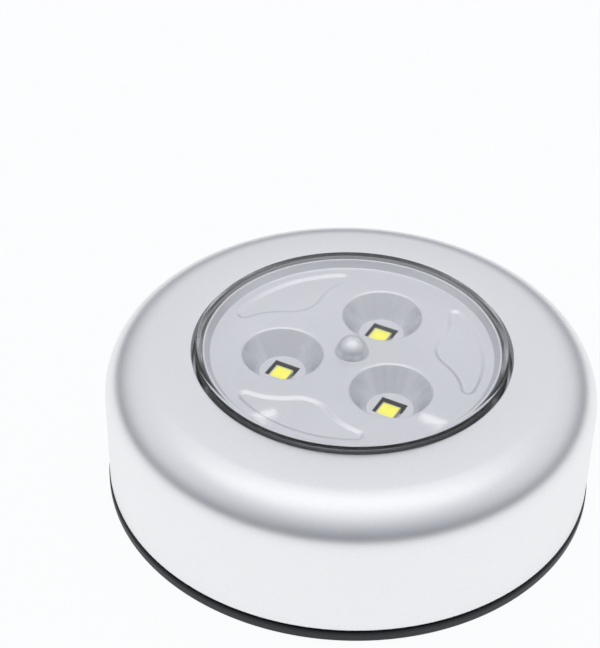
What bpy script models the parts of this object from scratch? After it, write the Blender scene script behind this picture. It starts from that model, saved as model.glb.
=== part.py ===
"""Battery push light: a round puck with three lamps under a clear lens that is pressed to switch it.

Everything is in metres, +Z up. The light lies on its back: the adhesive pad rests on Z = 0 and the
lens looks up. The origin is the centre of the pad's lower face.
"""
import bpy
import bmesh
import math
from mathutils import Vector

# Driving sizes, metres

# The gap left between two pieces that seat on each other, and how far cuts and joined shapes overrun
FIT = 0.0003
OVERRUN = 0.0004

# Adhesive pad on the back
PAD_RADIUS = 0.0245
PAD_THICKNESS = 0.0010
PAD_PROUD = 0.0001

# Silver housing
WALL = 0.0018
TOP_WALL = 0.0018
TOP_FLAT = 0.00545
TOP_FALL = 0.0004
SHOULDER_HEIGHT = 0.0064
EDGE_ROUND = 0.0004
OPENING_EDGE = 0.00015
COLLAR_THICKNESS = 0.0011
BOSS_RADIUS = 0.0020
BOSS_EDGE = 0.0006
BOSS_BITE = 0.0003

# Black base plate
BASE_REACH = 0.00015
BASE_RIM_HEIGHT = 0.0013
BASE_EDGE = 0.0002
BASE_FLOOR = 0.0008
RING_THICKNESS = 0.0011
RING_HEIGHT = 0.0010

# Twist lock between base plate and housing
LUG_REACH = 0.0012
LUG_HEIGHT = 0.0011
TAB_HEIGHT = 0.0012
POST_THICKNESS = 0.0014

# AAA cells
CELL_RADIUS = 0.00525
CELL_LENGTH = 0.0445
NUB_RADIUS = 0.0019
NUB_LENGTH = 0.0010
CELL_EDGE = 0.0005

# Battery tray
WEB_THICKNESS = 0.0007
CREST_PROUD = 0.0002
WEB_MARGIN = 0.0019
TRAY_WALL = 0.0010
TRAY_CORNER = 0.0020
TRAY_CLEARANCE = 0.0018
RIB_WIDTH = 0.0008
RIB_HEIGHT = 0.0018
LIP_THICKNESS = 0.0006
LIP_REACH = 0.0005

# Battery contacts
CONTACT_THICKNESS = 0.0004
CONTACT_SIZE = 0.0080
CONTACT_WEB_GAP = 0.00035
TAB_WIDTH = 0.0020
TAB_PROUD = 0.0015
CONTACT_SPRING_LENGTH = 0.0030
SPRING_WIRE = 0.0005
SPRING_BASE_RADIUS = 0.0028
SPRING_TIP_RADIUS = 0.0019

# Tray screws
SCREW_RADIUS = 0.00075
SCREW_HEAD_RADIUS = 0.0019
SCREW_HEAD_HEIGHT = 0.0010
SCREW_BITE = 0.0045
SCREW_TIP = 0.0005
SLOT_WIDTH = 0.0005
SLOT_DEPTH = 0.0004

# Latching push switch
PRESS_TRAVEL = 0.0010
SWITCH_SIZE = 0.0070
SWITCH_FLOOR = 0.0012
PLUNGER_RADIUS = 0.0015
PLUNGER_PROUD = 0.0014
PLUNGER_DEPTH = 0.0021
PLUNGER_EDGE = 0.0003
SWITCH_SPRING_LENGTH = 0.0031
SWITCH_WIRE = 0.0004
POCKET_WALL = 0.0008
POCKET_DEPTH = 0.0050
PIN_WIDTH = 0.0012
PIN_THICKNESS = 0.0004
PIN_SPREAD = 0.0026

# Lamp board
BOARD_FOOT_GAP = 0.0005
BOARD_THICKNESS = 0.0008
BOARD_CLEARANCE = 0.0002
LED_LENGTH = 0.0033
LED_WIDTH = 0.0028
LED_HEIGHT = 0.0006
LED_GAP = 0.00025
RESISTOR_LENGTH = 0.0020
RESISTOR_WIDTH = 0.00125
RESISTOR_HEIGHT = 0.0003
RESISTOR_PLACE = 0.0035

# Reflector plate
CUP_RADIUS = 0.00585
CUP_FLOOR_RADIUS = 0.0032
CUP_DEPTH = 0.0031
CUP_LIP = 0.0005
CUP_WALL = 0.0007
CUP_FLOOR = 0.0008
LED_RECESS = 0.0005
PLATE_THICKNESS = 0.0012
BUMP_RADIUS = 0.00227
BUMP_HEIGHT = 0.0024
BUMP_CUP_GAP = 0.00135
LEAF_MARGIN = 0.0025
LEAF_NOSE = 0.0044
LEAF_TIP = 0.0008
LEAF_DEPTH = 0.0003
RIM_WALL = 0.0003
RIM_LEAN = 0.0007
SKIRT_THICKNESS = 0.0011
REFLECTOR_FLANGE_HEIGHT = 0.0012
FOOT_RADIUS = 0.0013
FOOT_EDGE = 0.0004
PEG_BITE = 0.00015
PEG_RADIUS = 0.0009
PEG_POST_RADIUS = 0.0018
PEG_HEAD_RADIUS = 0.0017
PEG_HEAD_HEIGHT = 0.0004

# Clear lens
LENS_THICKNESS = 0.0012
LENS_WALL = 0.0008
LENS_EDGE = 0.00045
LENS_PROUD = 0.0010
LENS_GAP = 0.0005
DOME_GAP = 0.0007
DOME_RISE = 0.0019
FLANGE_REACH = 0.0031
LENS_FLANGE_HEIGHT = 0.0013

# Leads
LEAD_RADIUS = 0.00045
LEAD_MARGIN = 0.0017
LEAD_STRAIGHT = 0.0015
LEAD_RUN = 0.0020
SOLDER_MARGIN = 0.0018
LEAD_BEND_SHARES = (0.2, 0.5, 0.8)

# Counts and angles
ROUND_STEPS = 48
CUP_STEPS = 24
SMALL_STEPS = 12
COIL_STEPS = 10
LIP_STEPS = 3
LAMP_COUNT = 3
LOCK_COUNT = 3
LAMP_ANGLE = math.radians(62.5)
LEAF_ANGLE = math.radians(2.5)
LEAF_HALF_ANGLE = math.radians(28.6)
CUP_LIP_TURN = math.radians(56.0)
LOCK_ANGLE = math.radians(8.0)
LOCK_HALF_ANGLE = math.radians(8.0)
STOP_ANGLE = math.radians(1.6)
BOSS_ANGLES = [math.radians(a) for a in (112.0, 232.0, 308.0)]
SOLDER_TURN = math.radians(16.0)
NEGATIVE_SOLDER_ANGLE = math.radians(203.0)
SMOOTH_ANGLE = math.radians(35.0)
CONTACT_SPRING_TURNS = 2.5
SWITCH_SPRING_TURNS = 3.0

# Points closer than this are one point, and millimetres in a metre, for what is printed
MERGE = 0.000003
MILLIMETRES = 1000

# Heights, worked out from the pad upwards

BASE_BOTTOM_Z = PAD_PROUD
BASE_RIM_TOP_Z = BASE_BOTTOM_Z + BASE_RIM_HEIGHT
HOUSING_BOTTOM_Z = BASE_RIM_TOP_Z + FIT
PAD_SEAT_Z = PAD_THICKNESS + FIT
BASE_TOP_Z = PAD_SEAT_Z + BASE_FLOOR
RING_TOP_Z = BASE_TOP_Z + RING_HEIGHT
TAB_BOTTOM_Z = RING_TOP_Z + FIT
TAB_TOP_Z = TAB_BOTTOM_Z + TAB_HEIGHT
LUG_BOTTOM_Z = TAB_TOP_Z + FIT
LUG_TOP_Z = LUG_BOTTOM_Z + LUG_HEIGHT

CELL_Z = BASE_TOP_Z + FIT + CELL_RADIUS
CELL_CREST_Z = CELL_Z + CELL_RADIUS
WEB_TOP_Z = CELL_CREST_Z - CREST_PROUD
WEB_BOTTOM_Z = WEB_TOP_Z - WEB_THICKNESS

PEG_FOOT_Z = CELL_CREST_Z + PRESS_TRAVEL + BOARD_CLEARANCE
BOARD_BOTTOM_Z = PEG_FOOT_Z + PEG_HEAD_HEIGHT + FIT
BOARD_TOP_Z = BOARD_BOTTOM_Z + BOARD_THICKNESS
LED_BOTTOM_Z = BOARD_TOP_Z + FIT
LED_TOP_Z = LED_BOTTOM_Z + LED_HEIGHT
CUP_FLOOR_Z = LED_TOP_Z + LED_RECESS
PLATE_TOP_Z = CUP_FLOOR_Z + CUP_DEPTH
PLATE_BOTTOM_Z = PLATE_TOP_Z - PLATE_THICKNESS
BUMP_TOP_Z = PLATE_TOP_Z + BUMP_HEIGHT
DOME_UNDER_Z = BUMP_TOP_Z + DOME_GAP
CROWN_Z = DOME_UNDER_Z + LENS_THICKNESS
LENS_EDGE_Z = CROWN_Z - DOME_RISE
HOUSING_TOP_Z = LENS_EDGE_Z - LENS_PROUD
TOP_UNDER_Z = HOUSING_TOP_Z - TOP_WALL
LENS_FLANGE_TOP_Z = TOP_UNDER_Z - FIT
LENS_BOTTOM_Z = LENS_FLANGE_TOP_Z - LENS_FLANGE_HEIGHT
REFLECTOR_FLANGE_TOP_Z = LENS_BOTTOM_Z - FIT
REFLECTOR_FLANGE_Z = REFLECTOR_FLANGE_TOP_Z - REFLECTOR_FLANGE_HEIGHT
COLLAR_BOTTOM_Z = REFLECTOR_FLANGE_Z - PRESS_TRAVEL
SHOULDER_Z = HOUSING_TOP_Z - SHOULDER_HEIGHT

SWITCH_TOP_Z = WEB_BOTTOM_Z - FIT
PLUNGER_TOP_Z = WEB_TOP_Z + PLUNGER_PROUD
PLUNGER_BOTTOM_Z = SWITCH_TOP_Z - PLUNGER_DEPTH
SWITCH_SPRING_TOP_Z = PLUNGER_BOTTOM_Z - FIT
SWITCH_SPRING_Z = SWITCH_SPRING_TOP_Z - SWITCH_SPRING_LENGTH
SWITCH_SEAT_Z = SWITCH_SPRING_Z - FIT
SWITCH_BOTTOM_Z = SWITCH_SEAT_Z - SWITCH_FLOOR
FOOT_Z = PLUNGER_TOP_Z + FIT
LEAD_Z = WEB_TOP_Z + FIT + LEAD_RADIUS

# Places inside the battery tray, worked out from the cells

CELL_PITCH = CELL_RADIUS + CELL_RADIUS + FIT
BAY_HALF_WIDTH = CELL_PITCH + CELL_RADIUS + FIT
CONTACT_FACE = (CELL_LENGTH + CONTACT_SPRING_LENGTH + FIT + FIT + FIT) / 2
BAY_HALF_LENGTH = CONTACT_FACE + CONTACT_THICKNESS + FIT
CONTACT_HALF = CONTACT_SIZE / 2
CONTACT_EDGE = CELL_PITCH + CONTACT_HALF
TAB_PLACE = CONTACT_EDGE - TAB_WIDTH / 2 - LIP_REACH
CONTACT_TOP_Z = WEB_BOTTOM_Z - CONTACT_WEB_GAP
CONTACT_LOW_Z = CELL_Z + CELL_Z - CONTACT_TOP_Z
TAB_TIP_Z = WEB_TOP_Z + TAB_PROUD
SWITCH_HALF = SWITCH_SIZE / 2
SWITCH_Y = BAY_HALF_WIDTH + TRAY_WALL + FIT + SWITCH_HALF
PIN_Y = SWITCH_Y + PIN_SPREAD - PIN_THICKNESS

# Radii, worked out from the tray outwards: the bore clears the tray's corners, and it is wide enough
# for the foot under the reflector's flange to stand over the switch

TRAY_CORNER_X = BAY_HALF_LENGTH + TRAY_WALL - TRAY_CORNER
TRAY_CORNER_Y = BAY_HALF_WIDTH + TRAY_WALL - TRAY_CORNER
TRAY_REACH = math.hypot(TRAY_CORNER_X, TRAY_CORNER_Y) + TRAY_CORNER
COLLAR_INSET = WEB_MARGIN + BOSS_EDGE + BOSS_RADIUS + BOSS_RADIUS - BOSS_BITE + COLLAR_THICKNESS
FOOT_INSET = COLLAR_INSET + FIT + FOOT_EDGE + FOOT_RADIUS
HOUSING_BORE = max(TRAY_REACH + TRAY_CLEARANCE, SWITCH_Y + FOOT_INSET)
BODY_RADIUS = HOUSING_BORE + WALL
BASE_RIM_RADIUS = BODY_RADIUS + BASE_REACH
RING_RADIUS = HOUSING_BORE - FIT
LUG_RADIUS = RING_RADIUS
TAB_RADIUS = LUG_RADIUS - LUG_REACH
POST_RADIUS = TAB_RADIUS - FIT
WEB_RADIUS = HOUSING_BORE - WEB_MARGIN
BOSS_CIRCLE = WEB_RADIUS - BOSS_EDGE - BOSS_RADIUS
COLLAR_RADIUS = HOUSING_BORE - COLLAR_INSET
FOOT_CIRCLE = HOUSING_BORE - FOOT_INSET
SWITCH_X = math.sqrt(FOOT_CIRCLE ** 2 - SWITCH_Y ** 2)
LEAD_CIRCLE = WEB_RADIUS - LEAD_MARGIN

LENS_FLANGE_RADIUS = COLLAR_RADIUS - FIT
LENS_RADIUS = LENS_FLANGE_RADIUS - FLANGE_REACH
LENS_BORE = LENS_RADIUS - LENS_WALL
OPENING_RADIUS = LENS_RADIUS + LENS_GAP
TOP_EDGE_RADIUS = OPENING_RADIUS + TOP_FLAT
PLATE_RADIUS = LENS_BORE - FIT
CUP_CIRCLE = BUMP_RADIUS + BUMP_CUP_GAP + CUP_RADIUS
LEAF_OUTER_RADIUS = PLATE_RADIUS - LEAF_MARGIN
PEG_CIRCLE = PLATE_RADIUS - SKIRT_THICKNESS - PEG_POST_RADIUS + PEG_BITE
BOARD_RADIUS = FOOT_CIRCLE - FOOT_RADIUS - BOARD_FOOT_GAP
SOLDER_CIRCLE = BOARD_RADIUS - SOLDER_MARGIN

LAMP_ANGLES = [LAMP_ANGLE + math.tau * i / LAMP_COUNT for i in range(LAMP_COUNT)]
LEAF_ANGLES = [LEAF_ANGLE + math.tau * i / LAMP_COUNT for i in range(LAMP_COUNT)]
LOCK_ANGLES = [LOCK_ANGLE + math.tau * i / LOCK_COUNT for i in range(LOCK_COUNT)]


# Helpers

def at_angle(radius, angle):
    return (radius * math.cos(angle), radius * math.sin(angle))


def clear_scene():
    for old in list(bpy.data.objects):
        bpy.data.objects.remove(old, do_unlink=True)


def finish(name, red, green, blue, roughness, metallic=0.0, alpha=1.0):
    """A Principled material for one piece."""
    material = bpy.data.materials.new(name)
    material.use_nodes = True
    shader = material.node_tree.nodes["Principled BSDF"]
    shader.inputs["Base Color"].default_value = (red, green, blue, 1.0)
    shader.inputs["Roughness"].default_value = roughness
    shader.inputs["Metallic"].default_value = metallic
    shader.inputs["Alpha"].default_value = alpha
    material.diffuse_color = (red, green, blue, alpha)
    return material


def to_object(name, bm):
    """Turn a bmesh into an object of the scene, with its round sides shaded smooth."""
    bmesh.ops.recalc_face_normals(bm, faces=bm.faces[:])
    mesh = bpy.data.meshes.new(name)
    bm.to_mesh(mesh)
    bm.free()
    mesh.shade_smooth()
    mesh.set_sharp_from_angle(angle=SMOOTH_ANGLE)
    piece = bpy.data.objects.new(name, mesh)
    bpy.context.collection.objects.link(piece)
    return piece


def turned(name, profile, steps=ROUND_STEPS, centre=(0, 0)):
    """Spin a closed outline of (radius, height) points round a vertical axis through centre."""
    bm = bmesh.new()
    verts = [bm.verts.new((radius, 0, height)) for radius, height in profile]
    ends = verts[1:] + verts[:1]
    for first, second in zip(verts, ends):
        if first.co.x > 0 or second.co.x > 0:
            bm.edges.new((first, second))
    bmesh.ops.spin(bm, geom=bm.edges[:] + bm.verts[:], cent=(0, 0, 0), axis=(0, 0, 1),
                   angle=math.tau, steps=steps, use_merge=True)
    bmesh.ops.remove_doubles(bm, verts=bm.verts[:], dist=MERGE)
    piece = to_object(name, bm)
    piece.location = (centre[0], centre[1], 0)
    return piece


def rod(name, radius, low, high, centre=(0, 0), steps=SMALL_STEPS):
    return turned(name, [(0, low), (radius, low), (radius, high), (0, high)], steps, centre)


def prism(name, outline, low, high):
    """Raise a flat outline of (x, y) points into a solid between two heights."""
    bm = bmesh.new()
    floor = bm.faces.new([bm.verts.new((x, y, low)) for x, y in outline])
    raised = bmesh.ops.extrude_face_region(bm, geom=[floor])["geom"]
    tops = [part for part in raised if isinstance(part, bmesh.types.BMVert)]
    bmesh.ops.translate(bm, vec=(0, 0, high - low), verts=tops)
    return to_object(name, bm)


def block(name, x_low, x_high, y_low, y_high, low, high):
    corners = [(x_low, y_low), (x_high, y_low), (x_high, y_high), (x_low, y_high)]
    return prism(name, corners, low, high)


def arc(centre_x, centre_y, radius_x, radius_y, start, end, steps):
    """Points along a stretch of an ellipse, both ends included."""
    angles = [start + (end - start) * i / steps for i in range(steps + 1)]
    return [(centre_x + radius_x * math.cos(a), centre_y + radius_y * math.sin(a)) for a in angles]


def swept(name, section, start, end, steps=4):
    """Sweep a closed section of (radius, height) points round the axis between two angles."""
    bm = bmesh.new()
    rings = []
    for i in range(steps + 1):
        angle = start + (end - start) * i / steps
        rings.append([bm.verts.new((*at_angle(radius, angle), height)) for radius, height in section])
    for ring, following in zip(rings, rings[1:]):
        for a in range(len(section)):
            b = (a + 1) % len(section)
            bm.faces.new((ring[a], ring[b], following[b], following[a]))
    bm.faces.new(rings[0])
    bm.faces.new(rings[-1])
    return to_object(name, bm)


def rounded_box_outline(half_length, half_width, corner, steps=3):
    centres = [(half_length - corner, half_width - corner), (corner - half_length, half_width - corner),
               (corner - half_length, corner - half_width), (half_length - corner, corner - half_width)]
    outline = []
    for quarter, (x, y) in enumerate(centres):
        start = math.pi / 2 * quarter
        outline += arc(x, y, corner, corner, start, start + math.pi / 2, steps)
    return outline


def combine(body, tools, operation):
    """Join the tools to the body, or cut them from it, and keep only the result."""
    for tool in tools:
        step = body.modifiers.new(operation.title(), "BOOLEAN")
        step.solver = "EXACT"
        step.operation = operation
        step.object = tool
    bpy.context.view_layer.update()
    graph = bpy.context.evaluated_depsgraph_get()
    result = bpy.data.meshes.new_from_object(body.evaluated_get(graph))
    body.modifiers.clear()
    body.data = result
    result.set_sharp_from_angle(angle=SMOOTH_ANGLE)
    for tool in tools:
        bpy.data.objects.remove(tool, do_unlink=True)


def add(body, *tools):
    combine(body, tools, "UNION")


def cut(body, *tools):
    combine(body, tools, "DIFFERENCE")


def turn_about_z(piece, angle):
    """Turn the mesh itself, so that the piece keeps its origin."""
    for vert in piece.data.vertices:
        x, y, z = vert.co
        vert.co = (x * math.cos(angle) - y * math.sin(angle), x * math.sin(angle) + y * math.cos(angle), z)


def smooth_path(points, per_span=4):
    """Points along a Catmull-Rom curve through the given ones."""
    points = [Vector(p) for p in points]
    padded = [points[0] * 2 - points[1]] + points + [points[-1] * 2 - points[-2]]
    path = []
    for i in range(len(points) - 1):
        a, b, c, d = padded[i:i + 4]
        for j in range(per_span):
            t = j / per_span
            path.append(0.5 * ((b * 2) + (c - a) * t + (a * 2 - b * 5 + c * 4 - d) * t ** 2
                               + (b * 3 - a - c * 3 + d) * t ** 3))
    return path + [points[-1]]


def tube(name, points, radius, sides_step=2):
    """A round wire along the points, closed at both ends."""
    curve = bpy.data.curves.new(name, "CURVE")
    curve.dimensions = "3D"
    curve.bevel_depth = radius
    curve.bevel_resolution = sides_step
    curve.use_fill_caps = True
    spline = curve.splines.new("POLY")
    spline.points.add(len(points) - 1)
    for target, source in zip(spline.points, points):
        target.co = (source[0], source[1], source[2], 1.0)
    piece = bpy.data.objects.new(name, curve)
    bpy.context.collection.objects.link(piece)
    return piece


def coil(base_radius, tip_radius, length, turns):
    """Points of a conical helix that starts at the origin and climbs along +Z."""
    count = round(turns * COIL_STEPS)
    points = []
    for i in range(count + 1):
        share = i / count
        radius = base_radius + (tip_radius - base_radius) * share
        angle = math.tau * turns * share
        points.append(Vector((radius * math.cos(angle), radius * math.sin(angle), length * share)))
    return points


def print_least_gap(name, points, wire):
    """Print the least air between a coil's turns, measured on its points."""
    skip = COIL_STEPS // 2
    gaps = [(points[i] - points[j]).length for i in range(len(points)) for j in range(i + skip, len(points))]
    gap = (min(gaps) - wire) * MILLIMETRES
    print(name, "least gap between turns, mm:", round(gap, 3))


# Base body: base plate and pad

def make_pad():
    pad = rod("adhesive_pad", PAD_RADIUS, 0, PAD_THICKNESS, steps=ROUND_STEPS)
    pad.data.materials.append(finish("adhesive_pad", 0.78, 0.78, 0.76, 0.9))


def make_base():
    seat = PAD_RADIUS + FIT
    profile = [(0, PAD_SEAT_Z), (seat, PAD_SEAT_Z), (seat, BASE_BOTTOM_Z)]
    profile += [(BASE_RIM_RADIUS - BASE_EDGE, BASE_BOTTOM_Z), (BASE_RIM_RADIUS, BASE_BOTTOM_Z + BASE_EDGE)]
    profile += [(BASE_RIM_RADIUS, BASE_RIM_TOP_Z), (RING_RADIUS, BASE_RIM_TOP_Z), (RING_RADIUS, RING_TOP_Z)]
    profile += [(RING_RADIUS - RING_THICKNESS, RING_TOP_Z), (RING_RADIUS - RING_THICKNESS, BASE_TOP_Z)]
    profile += [(0, BASE_TOP_Z)]
    base = turned("base_plate", profile)
    for angle in LOCK_ANGLES:
        inner = POST_RADIUS - POST_THICKNESS
        section = [(inner, BASE_TOP_Z - OVERRUN), (POST_RADIUS, BASE_TOP_Z - OVERRUN)]
        section += [(POST_RADIUS, LUG_BOTTOM_Z), (LUG_RADIUS, LUG_BOTTOM_Z)]
        section += [(LUG_RADIUS, LUG_TOP_Z), (inner, LUG_TOP_Z)]
        add(base, swept("lug", section, angle - LOCK_HALF_ANGLE, angle + LOCK_HALF_ANGLE))
    base.data.materials.append(finish("base_plate", 0.018, 0.020, 0.023, 0.42))


# Housing body

def housing_profile():
    shoulder = BODY_RADIUS - TOP_EDGE_RADIUS
    inner_shoulder = HOUSING_BORE - TOP_EDGE_RADIUS
    top_edge_z = HOUSING_TOP_Z - TOP_FALL
    outer = [(BODY_RADIUS - EDGE_ROUND, HOUSING_BOTTOM_Z), (BODY_RADIUS, HOUSING_BOTTOM_Z + EDGE_ROUND)]
    outer += arc(TOP_EDGE_RADIUS, SHOULDER_Z, shoulder, top_edge_z - SHOULDER_Z, 0, math.pi / 2, 8)
    opening = [(OPENING_RADIUS + OPENING_EDGE, HOUSING_TOP_Z), (OPENING_RADIUS, HOUSING_TOP_Z - OPENING_EDGE)]
    opening += [(OPENING_RADIUS, TOP_UNDER_Z), (COLLAR_RADIUS, TOP_UNDER_Z), (COLLAR_RADIUS, COLLAR_BOTTOM_Z)]
    opening += [(COLLAR_RADIUS + COLLAR_THICKNESS, COLLAR_BOTTOM_Z)]
    opening += [(COLLAR_RADIUS + COLLAR_THICKNESS, TOP_UNDER_Z - TOP_FALL)]
    inner_rise = TOP_UNDER_Z - TOP_FALL - SHOULDER_Z
    inner = arc(TOP_EDGE_RADIUS, SHOULDER_Z, inner_shoulder, inner_rise, math.pi / 2, 0, 5)
    return outer + opening + inner + [(HOUSING_BORE, HOUSING_BOTTOM_Z)]


def make_housing():
    housing = turned("housing", housing_profile())
    for angle in LOCK_ANGLES:
        start, end = angle - LOCK_HALF_ANGLE, angle + LOCK_HALF_ANGLE
        gap = FIT / LUG_RADIUS
        outer, stop_inner = HOUSING_BORE + OVERRUN, TAB_RADIUS + OVERRUN
        tab = [(TAB_RADIUS, TAB_BOTTOM_Z), (outer, TAB_BOTTOM_Z), (outer, TAB_TOP_Z), (TAB_RADIUS, TAB_TOP_Z)]
        stop_low = TAB_TOP_Z - OVERRUN
        stop = [(stop_inner, stop_low), (outer, stop_low), (outer, LUG_TOP_Z), (stop_inner, LUG_TOP_Z)]
        add(housing, swept("tab", tab, start, end + gap + STOP_ANGLE + gap))
        add(housing, swept("stop", stop, end + gap, end + gap + STOP_ANGLE, 1))
    for angle in BOSS_ANGLES:
        place = at_angle(BOSS_CIRCLE, angle)
        low = WEB_TOP_Z + FIT
        boss = rod("boss", BOSS_RADIUS, low, TOP_UNDER_Z + BOSS_BITE, place)
        pilot_top = low + SCREW_BITE + OVERRUN
        pilot = rod("pilot", SCREW_RADIUS + FIT, low - OVERRUN, pilot_top, place)
        add(housing, boss)
        cut(housing, pilot)
    housing.data.materials.append(finish("housing", 0.66, 0.67, 0.70, 0.38, 0.35))


def contact_rails(side):
    """Grooved posts in one end of the cell bay, which hold the edges of the two contact plates."""
    wall_x = BAY_HALF_LENGTH + OVERRUN
    lip_x = CONTACT_FACE - FIT - LIP_THICKNESS
    slot_x = CONTACT_FACE - FIT
    edges = [(BAY_HALF_WIDTH + OVERRUN, CONTACT_EDGE),
             (CELL_PITCH - CONTACT_HALF, CONTACT_HALF),
             (-CONTACT_EDGE, -BAY_HALF_WIDTH - OVERRUN)]
    rails = []
    for high, low in edges:
        stem_high = high - FIT if high < BAY_HALF_WIDTH else high
        stem_low = low + FIT if low > -BAY_HALF_WIDTH else low
        lip_high = high + LIP_REACH if high < BAY_HALF_WIDTH else high
        lip_low = low - LIP_REACH if low > -BAY_HALF_WIDTH else low
        outline = [(wall_x, stem_low), (wall_x, stem_high), (slot_x, stem_high), (slot_x, lip_high),
                   (lip_x, lip_high), (lip_x, lip_low), (slot_x, lip_low), (slot_x, stem_low)]
        outline = [(side * x, side * y) for x, y in outline]
        rails.append(prism("rail", outline, CONTACT_LOW_Z, WEB_BOTTOM_Z + OVERRUN))
    return rails


def make_tray():
    tray = rod("battery_tray", WEB_RADIUS, WEB_BOTTOM_Z, WEB_TOP_Z, steps=ROUND_STEPS)
    bay_low = BASE_TOP_Z + FIT
    outer = rounded_box_outline(BAY_HALF_LENGTH + TRAY_WALL, BAY_HALF_WIDTH + TRAY_WALL, TRAY_CORNER)
    walls = prism("walls", outer, bay_low, WEB_BOTTOM_Z + OVERRUN)
    inner = rounded_box_outline(BAY_HALF_LENGTH, BAY_HALF_WIDTH, TRAY_CORNER - TRAY_WALL)
    room = prism("room", inner, bay_low - OVERRUN, WEB_BOTTOM_Z)
    add(tray, walls)
    cut(tray, room)
    # One slot over the crest of each cell, as wide as the cell is at the web's lower face
    slot_half = math.sqrt((CELL_RADIUS + FIT) ** 2 - (WEB_BOTTOM_Z - CELL_Z) ** 2)
    slot_end = CONTACT_FACE - NUB_LENGTH
    for row in (-1, 0, 1):
        y = CELL_PITCH * row
        low, high = WEB_BOTTOM_Z - OVERRUN, WEB_TOP_Z + OVERRUN
        cut(tray, block("slot", -slot_end, slot_end, y - slot_half, y + slot_half, low, high))
    # Ribs in the valleys between the cells
    for side in (-1, 1):
        y = CELL_PITCH / 2 * side
        rib_end = CONTACT_FACE - CONTACT_SPRING_LENGTH - FIT
        low, high = WEB_BOTTOM_Z - RIB_HEIGHT, WEB_BOTTOM_Z + OVERRUN
        add(tray, block("rib", -rib_end, rib_end, y - RIB_WIDTH / 2, y + RIB_WIDTH / 2, low, high))
    for side in (-1, 1):
        add(tray, *contact_rails(side))
    add_switch_pocket(tray)
    cut_tray_holes(tray)
    tray.data.materials.append(finish("battery_tray", 0.045, 0.047, 0.05, 0.5))


def add_switch_pocket(tray):
    """Three walls that hang from the web and, with the bay's side wall, hold the switch."""
    inside = SWITCH_HALF + FIT
    outside = inside + POCKET_WALL
    root_y = BAY_HALF_WIDTH + TRAY_WALL - OVERRUN
    far_inside, far_outside = SWITCH_Y + inside, SWITCH_Y + outside
    outline = [(SWITCH_X - outside, root_y), (SWITCH_X - outside, far_outside),
               (SWITCH_X + outside, far_outside), (SWITCH_X + outside, root_y),
               (SWITCH_X + inside, root_y), (SWITCH_X + inside, far_inside),
               (SWITCH_X - inside, far_inside), (SWITCH_X - inside, root_y)]
    add(tray, prism("pocket", outline, WEB_BOTTOM_Z - POCKET_DEPTH, WEB_BOTTOM_Z + OVERRUN))


def cut_tray_holes(tray):
    low, high = WEB_BOTTOM_Z - OVERRUN, WEB_TOP_Z + OVERRUN
    for angle in BOSS_ANGLES:
        cut(tray, rod("hole", SCREW_RADIUS + FIT, low, high, at_angle(BOSS_CIRCLE, angle)))
    cut(tray, rod("hole", PLUNGER_RADIUS + FIT, low, high, (SWITCH_X, SWITCH_Y), CUP_STEPS))
    for side in (-1, 1):
        x = SWITCH_X + PIN_SPREAD * side
        half_x, half_y = PIN_THICKNESS / 2 + FIT, PIN_WIDTH / 2 + FIT
        cut(tray, block("hole", x - half_x, x + half_x, PIN_Y - half_y, PIN_Y + half_y, low, high))
        x_low, x_high = CONTACT_FACE - FIT, CONTACT_FACE + CONTACT_THICKNESS + FIT
        half = TAB_WIDTH / 2 + FIT
        hole = block("hole", x_low, x_high, TAB_PLACE - half, TAB_PLACE + half, low, high)
        if side < 0:
            turn_about_z(hole, math.pi)
        cut(tray, hole)


def make_cell(index, row, side):
    """One AAA cell along X, its nub towards side; a turned solid laid over."""
    name = f"cell_{index}"
    nub_tip = CONTACT_FACE - FIT
    nub_root = nub_tip - NUB_LENGTH
    tail = nub_tip - CELL_LENGTH
    profile = [(0, tail), (CELL_RADIUS - CELL_EDGE, tail), (CELL_RADIUS, tail + CELL_EDGE)]
    profile += [(CELL_RADIUS, nub_root - CELL_EDGE), (CELL_RADIUS - CELL_EDGE, nub_root)]
    profile += [(NUB_RADIUS, nub_root), (NUB_RADIUS, nub_tip), (0, nub_tip)]
    cell = turned(name, profile, CUP_STEPS)
    cell.rotation_euler = (0, side * math.pi / 2, 0)
    cell.location = (0, CELL_PITCH * row, CELL_Z)
    cell.data.materials.append(finish(name, 0.10, 0.22, 0.42, 0.35))


def make_contact(name, side, low_y, high_y, tab_y=None):
    """A flat contact plate across one end of the bay; a single one has a solder tab through the web."""
    x_low, x_high = CONTACT_FACE, CONTACT_FACE + CONTACT_THICKNESS
    plate = block(name, x_low, x_high, low_y, high_y, CONTACT_LOW_Z, CONTACT_TOP_Z)
    if tab_y is not None:
        half = TAB_WIDTH / 2
        add(plate, block("tab", x_low, x_high, tab_y - half, tab_y + half, CELL_Z, TAB_TIP_Z))
    if side < 0:
        turn_about_z(plate, math.pi)
    plate.data.materials.append(finish(name, 0.62, 0.60, 0.55, 0.30, 1.0))


def make_contact_spring(index, side, row):
    name = f"contact_spring_{index}"
    run = CONTACT_SPRING_LENGTH - SPRING_WIRE
    points = coil(SPRING_BASE_RADIUS, SPRING_TIP_RADIUS, run, CONTACT_SPRING_TURNS)
    print_least_gap(name, points, SPRING_WIRE)
    start = CONTACT_FACE - FIT - SPRING_WIRE / 2
    y = CELL_PITCH * row
    laid = [(side * (start - p.z), y + p.y, CELL_Z + p.x) for p in points]
    spring = tube(name, laid, SPRING_WIRE / 2, 1)
    spring.data.materials.append(finish(name, 0.62, 0.62, 0.62, 0.28, 1.0))


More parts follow.
